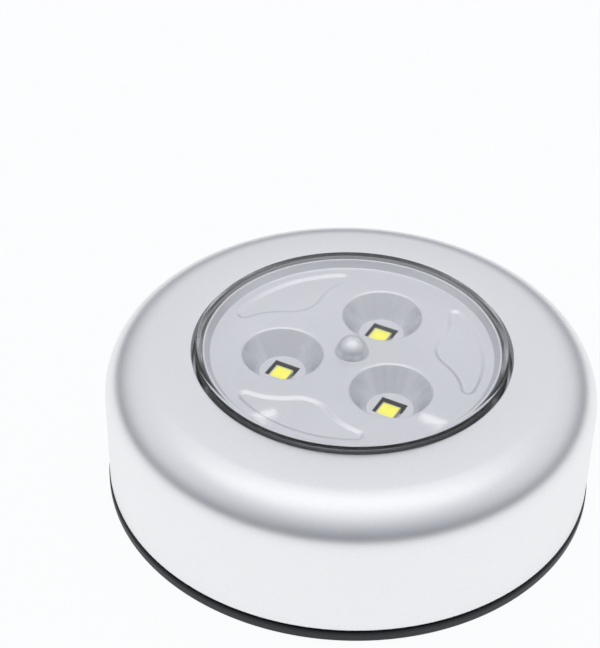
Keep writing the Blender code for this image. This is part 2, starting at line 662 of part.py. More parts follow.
def make_tray_screw(index, angle):
    name = f"tray_screw_{index}"
    head_top = WEB_BOTTOM_Z - FIT
    head_low = head_top - SCREW_HEAD_HEIGHT
    tip = WEB_TOP_Z + FIT + SCREW_BITE
    profile = [(0, head_low), (SCREW_HEAD_RADIUS - EDGE_ROUND, head_low)]
    profile += [(SCREW_HEAD_RADIUS, head_low + EDGE_ROUND), (SCREW_HEAD_RADIUS, head_top)]
    profile += [(SCREW_RADIUS, head_top), (SCREW_RADIUS, tip - SCREW_TIP), (0, tip)]
    screw = turned(name, profile, SMALL_STEPS, at_angle(BOSS_CIRCLE, angle))
    x, y = at_angle(BOSS_CIRCLE, angle)
    long_half, half = SCREW_HEAD_RADIUS / 2, SLOT_WIDTH / 2
    low, high = head_low - OVERRUN, head_low + SLOT_DEPTH
    across = block("slot", x - long_half, x + long_half, y - half, y + half, low, high)
    along = block("slot", x - half, x + half, y - long_half, y + long_half, low, high)
    add(across, along)
    cut(screw, across)
    screw.data.materials.append(finish(name, 0.45, 0.45, 0.46, 0.35, 1.0))


def make_switch():
    body = block("switch_body", SWITCH_X - SWITCH_HALF, SWITCH_X + SWITCH_HALF,
                 SWITCH_Y - SWITCH_HALF, SWITCH_Y + SWITCH_HALF, SWITCH_BOTTOM_Z, SWITCH_TOP_Z)
    cut(body, rod("bore", PLUNGER_RADIUS + FIT, SWITCH_SEAT_Z, SWITCH_TOP_Z + OVERRUN, (SWITCH_X, SWITCH_Y),
                  CUP_STEPS))
    body.data.materials.append(finish("switch_body", 0.03, 0.03, 0.032, 0.4))

    radius = PLUNGER_RADIUS - SWITCH_WIRE / 2
    points = coil(radius, radius, SWITCH_SPRING_LENGTH - SWITCH_WIRE, SWITCH_SPRING_TURNS)
    print_least_gap("switch_spring", points, SWITCH_WIRE)
    start = Vector((SWITCH_X, SWITCH_Y, SWITCH_SPRING_Z + SWITCH_WIRE / 2))
    spring = tube("switch_spring", [start + p for p in points], SWITCH_WIRE / 2, 1)
    spring.data.materials.append(finish("switch_spring", 0.62, 0.62, 0.62, 0.28, 1.0))

    half_x, half_y = PIN_THICKNESS / 2, PIN_WIDTH / 2
    for index, side in enumerate((1, -1), start=1):
        x = SWITCH_X + PIN_SPREAD * side
        pin = block(f"switch_pin_{index}", x - half_x, x + half_x, PIN_Y - half_y, PIN_Y + half_y,
                    SWITCH_TOP_Z + FIT, TAB_TIP_Z)
        pin.data.materials.append(finish(pin.name, 0.70, 0.66, 0.55, 0.30, 1.0))


def make_plunger():
    profile = [(0, PLUNGER_BOTTOM_Z), (PLUNGER_RADIUS, PLUNGER_BOTTOM_Z)]
    profile += [(PLUNGER_RADIUS, PLUNGER_TOP_Z - PLUNGER_EDGE), (PLUNGER_RADIUS - PLUNGER_EDGE, PLUNGER_TOP_Z)]
    profile += [(0, PLUNGER_TOP_Z)]
    plunger = turned("switch_plunger", profile, CUP_STEPS, (SWITCH_X, SWITCH_Y))
    plunger.data.materials.append(finish("switch_plunger", 0.85, 0.85, 0.83, 0.4))


def make_leads():
    """Three insulated wires on the web: cells to switch, switch to board and board back to the cells."""
    red, black = (0.62, 0.03, 0.02), (0.02, 0.02, 0.02)
    tab_x = CONTACT_FACE + CONTACT_THICKNESS / 2
    tab_edge = TAB_PLACE + TAB_WIDTH / 2 + FIT
    pin_gap = PIN_THICKNESS / 2 + FIT

    start = (tab_x, tab_edge)
    end = (SWITCH_X + PIN_SPREAD + pin_gap, PIN_Y)
    first, last = math.atan2(start[1], start[0]), math.atan2(end[1], end[0])
    route = [start]
    for share in LEAD_BEND_SHARES:
        route.append(at_angle(LEAD_CIRCLE, first + (last - first) * share))
    route.append(end)
    lead = tube("lead_positive", smooth_path([(x, y, LEAD_Z) for x, y in route], 3), LEAD_RADIUS)
    lead.data.materials.append(finish("lead_positive", *red, 0.45))

    pin_x = SWITCH_X - PIN_SPREAD - pin_gap
    tab_near = TAB_PLACE - TAB_WIDTH / 2 - FIT
    beside_switch = math.atan2(SWITCH_Y, SWITCH_X) + SOLDER_TURN
    ends = [("lead_switched", red, (pin_x, PIN_Y), (-1, 0), beside_switch),
            ("lead_negative", black, (-tab_x, -tab_near), (0, 1), NEGATIVE_SOLDER_ANGLE)]
    for name, colour, (x, y), (step_x, step_y), angle in ends:
        outer = at_angle(SOLDER_CIRCLE + LEAD_RUN, angle)
        joint = at_angle(SOLDER_CIRCLE, angle)
        route = [(x, y, LEAD_Z), (x + step_x * LEAD_STRAIGHT, y + step_y * LEAD_STRAIGHT, LEAD_Z)]
        route += [(outer[0], outer[1], LEAD_Z), (joint[0], joint[1], BOARD_BOTTOM_Z - FIT)]
        lead = tube(name, smooth_path(route), LEAD_RADIUS)
        lead.data.materials.append(finish(name, *colour, 0.45))


# Lens module

def make_board():
    board = rod("led_board", BOARD_RADIUS, BOARD_BOTTOM_Z, BOARD_TOP_Z, steps=ROUND_STEPS)
    low, high = BOARD_BOTTOM_Z - OVERRUN, BOARD_TOP_Z + OVERRUN
    for angle in LEAF_ANGLES:
        cut(board, rod("hole", PEG_RADIUS + FIT, low, high, at_angle(PEG_CIRCLE, angle)))
    board.data.materials.append(finish("led_board", 0.02, 0.024, 0.026, 0.45))

    for index, angle in enumerate(LAMP_ANGLES, start=1):
        led = block(f"led_{index}", -LED_LENGTH / 2, LED_LENGTH / 2, -LED_WIDTH / 2, LED_WIDTH / 2,
                    LED_BOTTOM_Z, LED_TOP_Z)
        turn_about_z(led, LAMP_ANGLE - math.pi / 2)
        led.location = (*at_angle(CUP_CIRCLE, angle), 0)
        led.data.materials.append(finish(led.name, 0.95, 0.85, 0.20, 0.5))

    low = BOARD_TOP_Z + FIT
    half_x, half_y = RESISTOR_LENGTH / 2, RESISTOR_WIDTH / 2
    resistor = block("resistor", -half_x, half_x, RESISTOR_PLACE - half_y, RESISTOR_PLACE + half_y,
                     low, low + RESISTOR_HEIGHT)
    resistor.data.materials.append(finish("resistor", 0.03, 0.03, 0.03, 0.5))


def leaf_outline():
    """A blade-shaped pocket between two cups, centred on +X: four arcs that run into each other."""
    half = math.pi / LAMP_COUNT
    cup_x, cup_y = at_angle(CUP_CIRCLE, half)
    tip_x, tip_y = at_angle(LEAF_OUTER_RADIUS - LEAF_TIP, LEAF_HALF_ANGLE)
    keep = math.hypot(cup_x - tip_x, cup_y - tip_y) - LEAF_TIP
    nose_x = cup_x + math.sqrt((keep + LEAF_NOSE) ** 2 - cup_y ** 2)
    to_cup = math.atan2(cup_y - tip_y, cup_x - tip_x) % math.tau
    to_nose = math.atan2(-cup_y, nose_x - cup_x)
    outer = arc(0, 0, LEAF_OUTER_RADIUS, LEAF_OUTER_RADIUS, -LEAF_HALF_ANGLE, LEAF_HALF_ANGLE, 8)
    tip = arc(tip_x, tip_y, LEAF_TIP, LEAF_TIP, LEAF_HALF_ANGLE, to_cup, 4)
    side = arc(cup_x, cup_y, keep, keep, to_cup - math.pi, to_nose, 4)
    nose = arc(nose_x, 0, LEAF_NOSE, LEAF_NOSE, to_nose + math.pi, math.pi - to_nose, 4)
    other = [(x, -y) for x, y in reversed(tip[1:] + side[1:])]
    return outer + tip[1:] + side[1:] + nose[1:-1] + other[:-1]


def cup_hollow(place):
    """The round bowl cut for one lamp, with a rolled lip where it meets the plate."""
    turns = [CUP_LIP_TURN * i / LIP_STEPS for i in range(LIP_STEPS + 1)]
    lip = [(CUP_RADIUS - CUP_LIP * math.sin(t), PLATE_TOP_Z - CUP_LIP * (1 - math.cos(t))) for t in turns]
    profile = [(0, PLATE_TOP_Z + OVERRUN), (CUP_RADIUS, PLATE_TOP_Z + OVERRUN)] + lip
    profile += [(CUP_FLOOR_RADIUS, CUP_FLOOR_Z), (0, CUP_FLOOR_Z)]
    return turned("hollow", profile, CUP_STEPS, place)


def dome_shape():
    """The dome's outer radius and the height of its centre, from its rise and its rounded edge."""
    edge_r, edge_z = LENS_RADIUS - LENS_EDGE, LENS_EDGE_Z - LENS_EDGE
    height = CROWN_Z - edge_z
    dome = (edge_r ** 2 + height ** 2 - LENS_EDGE ** 2) / (2 * (height - LENS_EDGE))
    return dome, CROWN_Z - dome


def make_reflector():
    dome, centre_z = dome_shape()
    rim_top = centre_z + math.sqrt((dome - LENS_THICKNESS) ** 2 - PLATE_RADIUS ** 2) - FIT
    rim_inner = PLATE_RADIUS - RIM_WALL
    skirt = PLATE_RADIUS - SKIRT_THICKNESS
    profile = [(0, PLATE_BOTTOM_Z), (skirt, PLATE_BOTTOM_Z), (skirt, REFLECTOR_FLANGE_Z)]
    profile += [(LENS_FLANGE_RADIUS, REFLECTOR_FLANGE_Z), (LENS_FLANGE_RADIUS, REFLECTOR_FLANGE_TOP_Z)]
    profile += [(PLATE_RADIUS, REFLECTOR_FLANGE_TOP_Z), (PLATE_RADIUS, rim_top)]
    profile += [(rim_inner, rim_top), (rim_inner - RIM_LEAN, PLATE_TOP_Z)]
    profile += arc(0, PLATE_TOP_Z, BUMP_RADIUS, BUMP_HEIGHT, 0, math.pi / 2, 5)
    reflector = turned("reflector", profile)
    for angle in LAMP_ANGLES:
        place = at_angle(CUP_CIRCLE, angle)
        shell = [(0, CUP_FLOOR_Z - CUP_FLOOR), (CUP_FLOOR_RADIUS + CUP_WALL, CUP_FLOOR_Z - CUP_FLOOR)]
        shell += [(CUP_RADIUS + CUP_WALL, PLATE_BOTTOM_Z + OVERRUN), (0, PLATE_BOTTOM_Z + OVERRUN)]
        add(reflector, turned("shell", shell, CUP_STEPS, place))
    for angle in LEAF_ANGLES:
        post = [(0, PEG_FOOT_Z), (PEG_HEAD_RADIUS, PEG_FOOT_Z), (PEG_HEAD_RADIUS, PEG_FOOT_Z + PEG_HEAD_HEIGHT)]
        post += [(PEG_RADIUS, PEG_FOOT_Z + PEG_HEAD_HEIGHT), (PEG_RADIUS, BOARD_TOP_Z + FIT)]
        post += [(PEG_POST_RADIUS, BOARD_TOP_Z + FIT), (PEG_POST_RADIUS, PLATE_BOTTOM_Z + OVERRUN)]
        post += [(0, PLATE_BOTTOM_Z + OVERRUN)]
        add(reflector, turned("post", post, SMALL_STEPS, at_angle(PEG_CIRCLE, angle)))
    foot_top = REFLECTOR_FLANGE_Z + OVERRUN
    add(reflector, rod("foot", FOOT_RADIUS, FOOT_Z, foot_top, (SWITCH_X, SWITCH_Y)))
    for angle in LAMP_ANGLES:
        place = at_angle(CUP_CIRCLE, angle)
        cut(reflector, cup_hollow(place))
        half_x, half_y = LED_LENGTH / 2 + LED_GAP, LED_WIDTH / 2 + LED_GAP
        low, high = CUP_FLOOR_Z - CUP_FLOOR - OVERRUN, CUP_FLOOR_Z + OVERRUN
        window = block("window", -half_x, half_x, -half_y, half_y, low, high)
        turn_about_z(window, LAMP_ANGLE - math.pi / 2)
        window.location = (*place, 0)
        cut(reflector, window)
    for angle in LEAF_ANGLES:
        leaf = prism("leaf", leaf_outline(), PLATE_TOP_Z - LEAF_DEPTH, PLATE_TOP_Z + OVERRUN)
        turn_about_z(leaf, angle)
        cut(reflector, leaf)
    reflector.data.materials.append(finish("reflector", 0.60, 0.61, 0.64, 0.35, 0.4))


def make_lens():
    edge_r, edge_z = LENS_RADIUS - LENS_EDGE, LENS_EDGE_Z - LENS_EDGE
    dome, centre_z = dome_shape()
    slope = math.asin(edge_r / (dome - LENS_EDGE))
    under = dome - LENS_THICKNESS
    inner_slope = math.asin(LENS_BORE / under)
    profile = [(LENS_BORE, LENS_BOTTOM_Z), (LENS_FLANGE_RADIUS, LENS_BOTTOM_Z)]
    profile += [(LENS_FLANGE_RADIUS, LENS_FLANGE_TOP_Z), (LENS_RADIUS, LENS_FLANGE_TOP_Z)]
    profile += arc(edge_r, edge_z, LENS_EDGE, LENS_EDGE, 0, math.pi / 2 - slope, 4)
    outer = arc(0, centre_z, dome, dome, math.pi / 2 - slope, math.pi / 2, 5)
    inner = arc(0, centre_z, under, under, math.pi / 2, math.pi / 2 - inner_slope, 5)
    profile += outer[1:-1] + [(0, CROWN_Z), (0, DOME_UNDER_Z)] + inner[1:]
    lens = turned("lens", profile)
    lens.data.materials.append(finish("lens", 0.90, 0.92, 0.94, 0.05, 0.0, 0.35))


# Joints

def make_joint_empties():
    """Empties on the joint axes carry what moves: the housing turns, the lens module and plunger slide."""
    housing_turn = bpy.data.objects.new("housing_turn", None)
    module_slide = bpy.data.objects.new("module_slide", None)
    plunger_slide = bpy.data.objects.new("plunger_slide", None)
    base = bpy.data.objects["base_plate"]
    for empty, parent in ((housing_turn, base), (module_slide, housing_turn), (plunger_slide, housing_turn)):
        bpy.context.collection.objects.link(empty)
        empty.parent = parent
    plunger_slide.location = (SWITCH_X, SWITCH_Y, 0)
    module = {"lens", "reflector", "led_board", "resistor"} | {f"led_{i + 1}" for i in range(LAMP_COUNT)}
    for piece in list(bpy.data.objects):
        if piece.type == "EMPTY" or piece.name == "base_plate":
            continue
        if piece.name == "switch_plunger":
            piece.parent = plunger_slide
            piece.location = (0, 0, 0)
        elif piece.name in module:
            piece.parent = module_slide
        else:
            piece.parent = base if piece.name == "adhesive_pad" else housing_turn


def main():
    clear_scene()
    make_pad()
    make_base()
    make_housing()
    make_tray()
    cells = [(1, 1), (0, -1), (-1, 1)]
    for index, (row, side) in enumerate(cells, start=1):
        make_cell(index, row, side)
        make_contact_spring(index, -side, row)
    make_contact("contact_positive", 1, CELL_PITCH - CONTACT_HALF, CONTACT_EDGE, TAB_PLACE)
    make_contact("contact_bridge_right", 1, -CONTACT_EDGE, CONTACT_HALF)
    make_contact("contact_negative", -1, CELL_PITCH - CONTACT_HALF, CONTACT_EDGE, TAB_PLACE)
    make_contact("contact_bridge_left", -1, -CONTACT_EDGE, CONTACT_HALF)
    for index, angle in enumerate(BOSS_ANGLES, start=1):
        make_tray_screw(index, angle)
    make_switch()
    make_plunger()
    make_leads()
    make_board()
    make_reflector()
    make_lens()
    make_joint_empties()
    print("height, mm:", round(CROWN_Z * MILLIMETRES, 2))
    print("diameter, mm:", round((BODY_RADIUS + BODY_RADIUS) * MILLIMETRES, 2))


main()
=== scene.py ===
# %% [markdown]
# # A battery push light, finished in Blender
# The light is a silver puck that sticks under a shelf. Pressing its clear lens switches on three
# small lamps. The solids of every piece come ready made in one file, called the frame, with their
# real sizes and their joints. This lesson gives them smooth surfaces and finishes, lights them
# and points a camera at them. Everything is in metres, and up is +Z.

# %% Load the frame
import bpy
import bmesh
import math
from mathutils import Matrix, Vector


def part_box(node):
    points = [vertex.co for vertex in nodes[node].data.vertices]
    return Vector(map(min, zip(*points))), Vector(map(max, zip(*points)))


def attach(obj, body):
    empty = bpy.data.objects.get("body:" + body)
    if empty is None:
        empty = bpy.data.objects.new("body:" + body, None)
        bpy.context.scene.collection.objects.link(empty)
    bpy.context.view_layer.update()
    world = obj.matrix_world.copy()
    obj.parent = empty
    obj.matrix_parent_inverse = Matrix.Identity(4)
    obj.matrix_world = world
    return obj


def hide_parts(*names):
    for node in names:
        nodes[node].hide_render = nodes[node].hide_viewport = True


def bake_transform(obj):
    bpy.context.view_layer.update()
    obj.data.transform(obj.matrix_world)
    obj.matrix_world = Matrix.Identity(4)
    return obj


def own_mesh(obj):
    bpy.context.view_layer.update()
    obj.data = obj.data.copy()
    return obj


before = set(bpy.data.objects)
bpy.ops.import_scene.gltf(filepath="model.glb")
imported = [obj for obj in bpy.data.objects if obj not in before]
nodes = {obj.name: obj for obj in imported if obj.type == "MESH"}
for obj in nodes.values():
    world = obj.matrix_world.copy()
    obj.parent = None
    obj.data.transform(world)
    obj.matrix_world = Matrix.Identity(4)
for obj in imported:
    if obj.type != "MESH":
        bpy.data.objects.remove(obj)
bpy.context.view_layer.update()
scene = bpy.context.scene
print("solids in the frame:", len(nodes))

# %% [markdown]
# ## The colours on screen
# The Standard view shows a colour about as it was written. The other choices bend bright colours
# towards white, which would grey the silver.

# %% Set the view
scene.view_settings.view_transform = "Standard"

# %% [markdown]
# ## The camera
# The light is seen from a little less than 40 degrees above, by a long lens at a short distance.
# A camera is easiest to place from the spot on the table that it looks at: step back from there
# along the line of sight. Its axes are written out as three arrows, because a slight roll is then
# only a turn of the first two.

# %% Place the camera
camera_angle = math.radians(37.43)
camera_roll = math.radians(0.971)
camera_distance = 0.2795
looked_at = Vector((-0.00719, 0.03311, 0))

sight = Vector((0, math.cos(camera_angle), -math.sin(camera_angle)))
level = Vector((1, 0, 0))
upward = level.cross(sight)
across = level * math.cos(camera_roll) + upward * math.sin(camera_roll)
above = upward * math.cos(camera_roll) - level * math.sin(camera_roll)

camera_data = bpy.data.cameras.new("camera")
camera_data.lens = 97.44
camera = bpy.data.objects.new("camera", camera_data)
scene.collection.objects.link(camera)
turn = Matrix((across, above, -sight)).transposed().to_4x4()
camera.matrix_world = Matrix.Translation(looked_at - sight * camera_distance) @ turn
camera_data.clip_start = 0.01
scene.camera = camera
print("camera, mm:", [round(1000 * x, 1) for x in camera.location])

# %% [markdown]
# ## The table
# The light stands on white card. A plain disc is enough for it. Most of the white is the card's
# own brightness, seen by the camera, in mirror-like surfaces and through glass, so that the table
# stays white without more lamps. The rest is an ordinary matt surface, which keeps a soft shadow.
# The card lies a hair under the light's foot, because two faces in one plane would flicker.

# %% A material with a few named nodes
def new_material(name):
    """An empty node material, its node tree and its output node."""
    material = bpy.data.materials.new(name)
    material.use_nodes = True
    tree = material.node_tree
    tree.nodes.clear()
    output = tree.nodes.new("ShaderNodeOutputMaterial")
    return material, tree, output


def plain_shader(tree, colour, roughness, metallic=0.0):
    """A Principled shader with its own numbers set."""
    shader = tree.nodes.new("ShaderNodeBsdfPrincipled")
    shader.inputs["Base Color"].default_value = (*colour, 1.0)
    shader.inputs["Roughness"].default_value = roughness
    shader.inputs["Metallic"].default_value = metallic
    return shader


def shader_of(material):
    """The Principled shader of a finished material."""
    return next(n for n in material.node_tree.nodes if n.type == "BSDF_PRINCIPLED")


# %% White card
def white_card():
    material, tree, output = new_material("white_card")
    card = plain_shader(tree, (0.93, 0.93, 0.93), 0.8)
    grain = tree.nodes.new("ShaderNodeTexNoise")
    grain.inputs["Scale"].default_value = 400
    lift = tree.nodes.new("ShaderNodeBump")
    lift.inputs["Strength"].default_value = 0.05
    glow = tree.nodes.new("ShaderNodeEmission")
    glow.inputs["Color"].default_value = (0.98, 0.993, 1.0, 1)
    rays = tree.nodes.new("ShaderNodeLightPath")
    mirrored = tree.nodes.new("ShaderNodeMath")
    mirrored.operation = "MAXIMUM"
    seen = tree.nodes.new("ShaderNodeMath")
    seen.operation = "MAXIMUM"
    share = tree.nodes.new("ShaderNodeMath")
    share.operation = "MULTIPLY"
    share.inputs[1].default_value = 0.96
    blend = tree.nodes.new("ShaderNodeMixShader")
    link = tree.links.new
    link(grain.outputs["Fac"], lift.inputs["Height"])
    link(lift.outputs["Normal"], card.inputs["Normal"])
    link(rays.outputs["Is Glossy Ray"], mirrored.inputs[0])
    link(rays.outputs["Is Transmission Ray"], mirrored.inputs[1])
    link(rays.outputs["Is Camera Ray"], seen.inputs[0])
    link(mirrored.outputs[0], seen.inputs[1])
    link(seen.outputs[0], share.inputs[0])
    link(share.outputs[0], blend.inputs["Fac"])
    link(card.outputs[0], blend.inputs[1])
    link(glow.outputs[0], blend.inputs[2])
    link(blend.outputs[0], output.inputs["Surface"])
    return material


# %% Lay the table
table_radius = 1.5
table_drop = 0.00005
bpy.ops.mesh.primitive_circle_add(vertices=96, radius=table_radius, fill_type="TRIFAN")
table = bpy.context.object
table.name = "table"
table.data.materials.append(white_card())
table.location.z = -table_drop
print("table, m across:", 2 * table_radius)

# %% [markdown]
# ## The light
# Satin silver has little colour of its own: what one sees on it is the room. A photographer puts
# it in a tent of white cloth that is bright overhead and at the back, and open in front, where the
# camera looks in. The bright top gives the wide band along the front shoulder, the opening gives
# the soft grey band under it, and the white table lights up the side wall.
#
# The tent is made as the world, not as cloth and lamps, because a world has no noise and no edges.
# It holds two ramps over the height of a direction, one for the front and one for the back, and
# blends them from front to back. The camera itself sees plain white.

# %% Ramps of the tent
front_stops = [(0, 0.12), (0.08, 0.07), (0.16, 0.10), (0.24, 0.20), (0.36, 0.34), (0.48, 0.43),
               (0.60, 0.52), (0.72, 0.66), (0.82, 0.82), (0.90, 0.94), (0.96, 1)]
back_stops = [(0, 0.05), (0.12, 0.14), (0.24, 0.42), (0.36, 0.67), (0.48, 0.79), (0.60, 0.79),
              (0.72, 0.72), (0.80, 0.78), (0.86, 0.98), (0.92, 1)]


def tent_ramp(tree, stops):
    """A ramp of greys, which grow bluer towards its dark end as shade does."""
    ramp = tree.nodes.new("ShaderNodeValToRGB")
    while len(ramp.color_ramp.elements) < len(stops):
        ramp.color_ramp.elements.new(0.5)
    for element, (place, grey) in zip(ramp.color_ramp.elements, stops):
        element.position = place
        element.color = (grey * 0.975, 0.98 * grey ** 0.98, grey ** 0.90, 1)
    return ramp


# %% The tent round the light
def studio_world():
    world = bpy.data.worlds.new("studio")
    world.use_nodes = True
    scene.world = world
    tree = world.node_tree
    tree.nodes.clear()
    direction = tree.nodes.new("ShaderNodeTexCoord")
    split = tree.nodes.new("ShaderNodeSeparateXYZ")
    front = tent_ramp(tree, front_stops)
    back = tent_ramp(tree, back_stops)
    depth = tree.nodes.new("ShaderNodeMapRange")
    depth.interpolation_type = "SMOOTHSTEP"
    depth.inputs["From Min"].default_value = -1.0
    depth.inputs["From Max"].default_value = 0.2
    cloth = tree.nodes.new("ShaderNodeMix")
    cloth.data_type = "RGBA"
    tent = tree.nodes.new("ShaderNodeBackground")
    white = tree.nodes.new("ShaderNodeBackground")
    rays = tree.nodes.new("ShaderNodeLightPath")
    blend = tree.nodes.new("ShaderNodeMixShader")
    output = tree.nodes.new("ShaderNodeOutputWorld")
    white.inputs["Color"].default_value = (1, 1, 1, 1)
    tent.inputs["Strength"].default_value = 1.0
    link = tree.links.new
    link(direction.outputs["Generated"], split.inputs["Vector"])
    link(split.outputs["Z"], front.inputs["Fac"])
    link(split.outputs["Z"], back.inputs["Fac"])
    link(split.outputs["Y"], depth.inputs["Value"])
    link(depth.outputs["Result"], cloth.inputs["Factor"])
    link(front.outputs["Color"], cloth.inputs["A"])
    link(back.outputs["Color"], cloth.inputs["B"])
    link(cloth.outputs["Result"], tent.inputs["Color"])
    link(rays.outputs["Is Camera Ray"], blend.inputs["Fac"])
    link(tent.outputs[0], blend.inputs[1])
    link(white.outputs[0], blend.inputs[2])
    link(blend.outputs[0], output.inputs["Surface"])


studio_world()
print("greys in the tent's ramps:", len(front_stops), len(back_stops))

# %% [markdown]
# Three lamps add to the tent. A wide soft box overhead brightens all that faces up. Two narrow
# strips stand high behind the light, and each aims at the spot on the lens where its image shows:
# they are the soft glints at the front left and the front right.

# %% Hang the lamps
box_place, box_aim = (0, 0, 0.65), (0, 0, 0.01)
box_size, box_power = (0.90, 0.36), 0.17
strip_size, strip_power = (0.07, 0.022), 0.019
strips = {"left_strip": ((-0.184, 0.545, 0.834), (-0.012, -0.016, 0.024)),
          "right_strip": ((0.220, 0.535, 0.831), (0.0105, -0.0165, 0.024))}


def softbox(name, place, aim, size, power):
    """A rectangular area lamp that stands at a place and faces another."""
    lamp = bpy.data.lights.new(name, "AREA")
    lamp.shape = "RECTANGLE"
    lamp.size, lamp.size_y = size
    lamp.energy = power
    holder = bpy.data.objects.new(name, lamp)
    scene.collection.objects.link(holder)
    holder.location = place
    holder.rotation_euler = (Vector(aim) - Vector(place)).to_track_quat("-Z", "Y").to_euler()


softbox("top_box", box_place, box_aim, box_size, box_power)
for name, (place, aim) in strips.items():
    softbox(name, place, aim, strip_size, strip_power)

# %% [markdown]
# ## Turned shapes
# Nearly everything here is round, so one helper makes most meshes: it spins an outline of
# (radius, height) points about the light's axis. Round corners are stretches of an arc, with a
# point every few degrees, so that the shape stays smooth when it is seen close.

# %% Helpers for outlines
def arc(centre, radius, start, end, steps=8):
    """Points of a circle's stretch, from one angle to another in degrees."""
    angles = [math.radians(start + (end - start) * i / steps) for i in range(steps + 1)]
    return [(centre[0] + radius * math.cos(a), centre[1] + radius * math.sin(a)) for a in angles]


def ellipse_arc(centre, wide, high, start, end, steps=8):
    angles = [math.radians(start + (end - start) * i / steps) for i in range(steps + 1)]
    return [(centre[0] + wide * math.cos(a), centre[1] + high * math.sin(a)) for a in angles]


# %% Helper for turned meshes
fine_steps = 256
small_steps = 96
crease = math.radians(35)


def turned(name, outline, steps=192, centre=(0, 0)):
    """Spin a closed outline of (radius, height) points about a vertical axis."""
    bm = bmesh.new()
    dots = [bm.verts.new((radius, 0, height)) for radius, height in outline]
    for first, second in zip(dots, dots[1:] + dots[:1]):
        if first.co.x > 0 or second.co.x > 0:
            bm.edges.new((first, second))
    bmesh.ops.spin(bm, geom=bm.edges[:] + bm.verts[:], cent=(0, 0, 0), axis=(0, 0, 1),
                   angle=math.tau, steps=steps, use_merge=True)
    bmesh.ops.remove_doubles(bm, verts=bm.verts, dist=1e-6)
    return finish_mesh(name, bm, centre)


def skin_rings(bm, rings):
    """Close a row of equal rings of vertices with faces, also at both ends."""
    for one, other in zip(rings, rings[1:]):
        for i in range(len(one)):
            j = (i + 1) % len(one)
            bm.faces.new((one[i], one[j], other[j], other[i]))
    bm.faces.new(rings[0])
    bm.faces.new(rings[-1])


def finish_mesh(name, bm, centre=(0, 0)):
    """Make an object of a bmesh, smooth where its faces meet at less than the crease angle."""
    bmesh.ops.recalc_face_normals(bm, faces=bm.faces)
    mesh = bpy.data.meshes.new(name)
    bm.to_mesh(mesh)
    bm.free()
    mesh.transform(Matrix.Translation((centre[0], centre[1], 0)))
    mesh.shade_smooth()
    mesh.set_sharp_from_angle(angle=crease)
    piece = bpy.data.objects.new(name, mesh)
    scene.collection.objects.link(piece)
    return piece


# %% [markdown]
# ## Silver paint
# The shell is moulded plastic under satin silver paint. Such paint is full of tiny metal flakes
# that lie nearly flat, so it mirrors the room softly and glitters a little when seen close. The
# shader is a rough metal; a fine cell pattern tilts each flake, and a broad noise makes the gloss
# vary by a few per cent, as sprayed paint does.

# %% Silver paint
def silver_paint(name, colour, roughness, flake_size=0.00012, metal=0.92):
    material, tree, output = new_material(name)
    paint = plain_shader(tree, colour, roughness, metal)
    place = tree.nodes.new("ShaderNodeTexCoord")
    flakes = tree.nodes.new("ShaderNodeTexVoronoi")
    flakes.inputs["Scale"].default_value = 1 / flake_size
    cloud = tree.nodes.new("ShaderNodeTexNoise")
    cloud.inputs["Scale"].default_value = 90
    cloud.inputs["Detail"].default_value = 3
    gloss = tree.nodes.new("ShaderNodeMapRange")
    gloss.inputs["To Min"].default_value = roughness - 0.03
    gloss.inputs["To Max"].default_value = roughness + 0.03
    tint = tree.nodes.new("ShaderNodeMix")
    tint.data_type = "RGBA"
    tint.inputs["A"].default_value = (*(0.97 * c for c in colour), 1)
    tint.inputs["B"].default_value = (*(min(1, 1.03 * c) for c in colour), 1)
    lift = tree.nodes.new("ShaderNodeBump")
    lift.inputs["Strength"].default_value = 0.06
    lift.inputs["Distance"].default_value = 0.00002
    link = tree.links.new
    link(place.outputs["Object"], flakes.inputs["Vector"])
    link(place.outputs["Object"], cloud.inputs["Vector"])
    link(cloud.outputs["Fac"], gloss.inputs["Value"])
    link(gloss.outputs["Result"], paint.inputs["Roughness"])
    link(flakes.outputs["Color"], tint.inputs["Factor"])
    link(tint.outputs["Result"], paint.inputs["Base Color"])
    link(flakes.outputs["Distance"], lift.inputs["Height"])
    link(lift.outputs["Normal"], paint.inputs["Normal"])
    link(paint.outputs[0], output.inputs["Surface"])
    return material
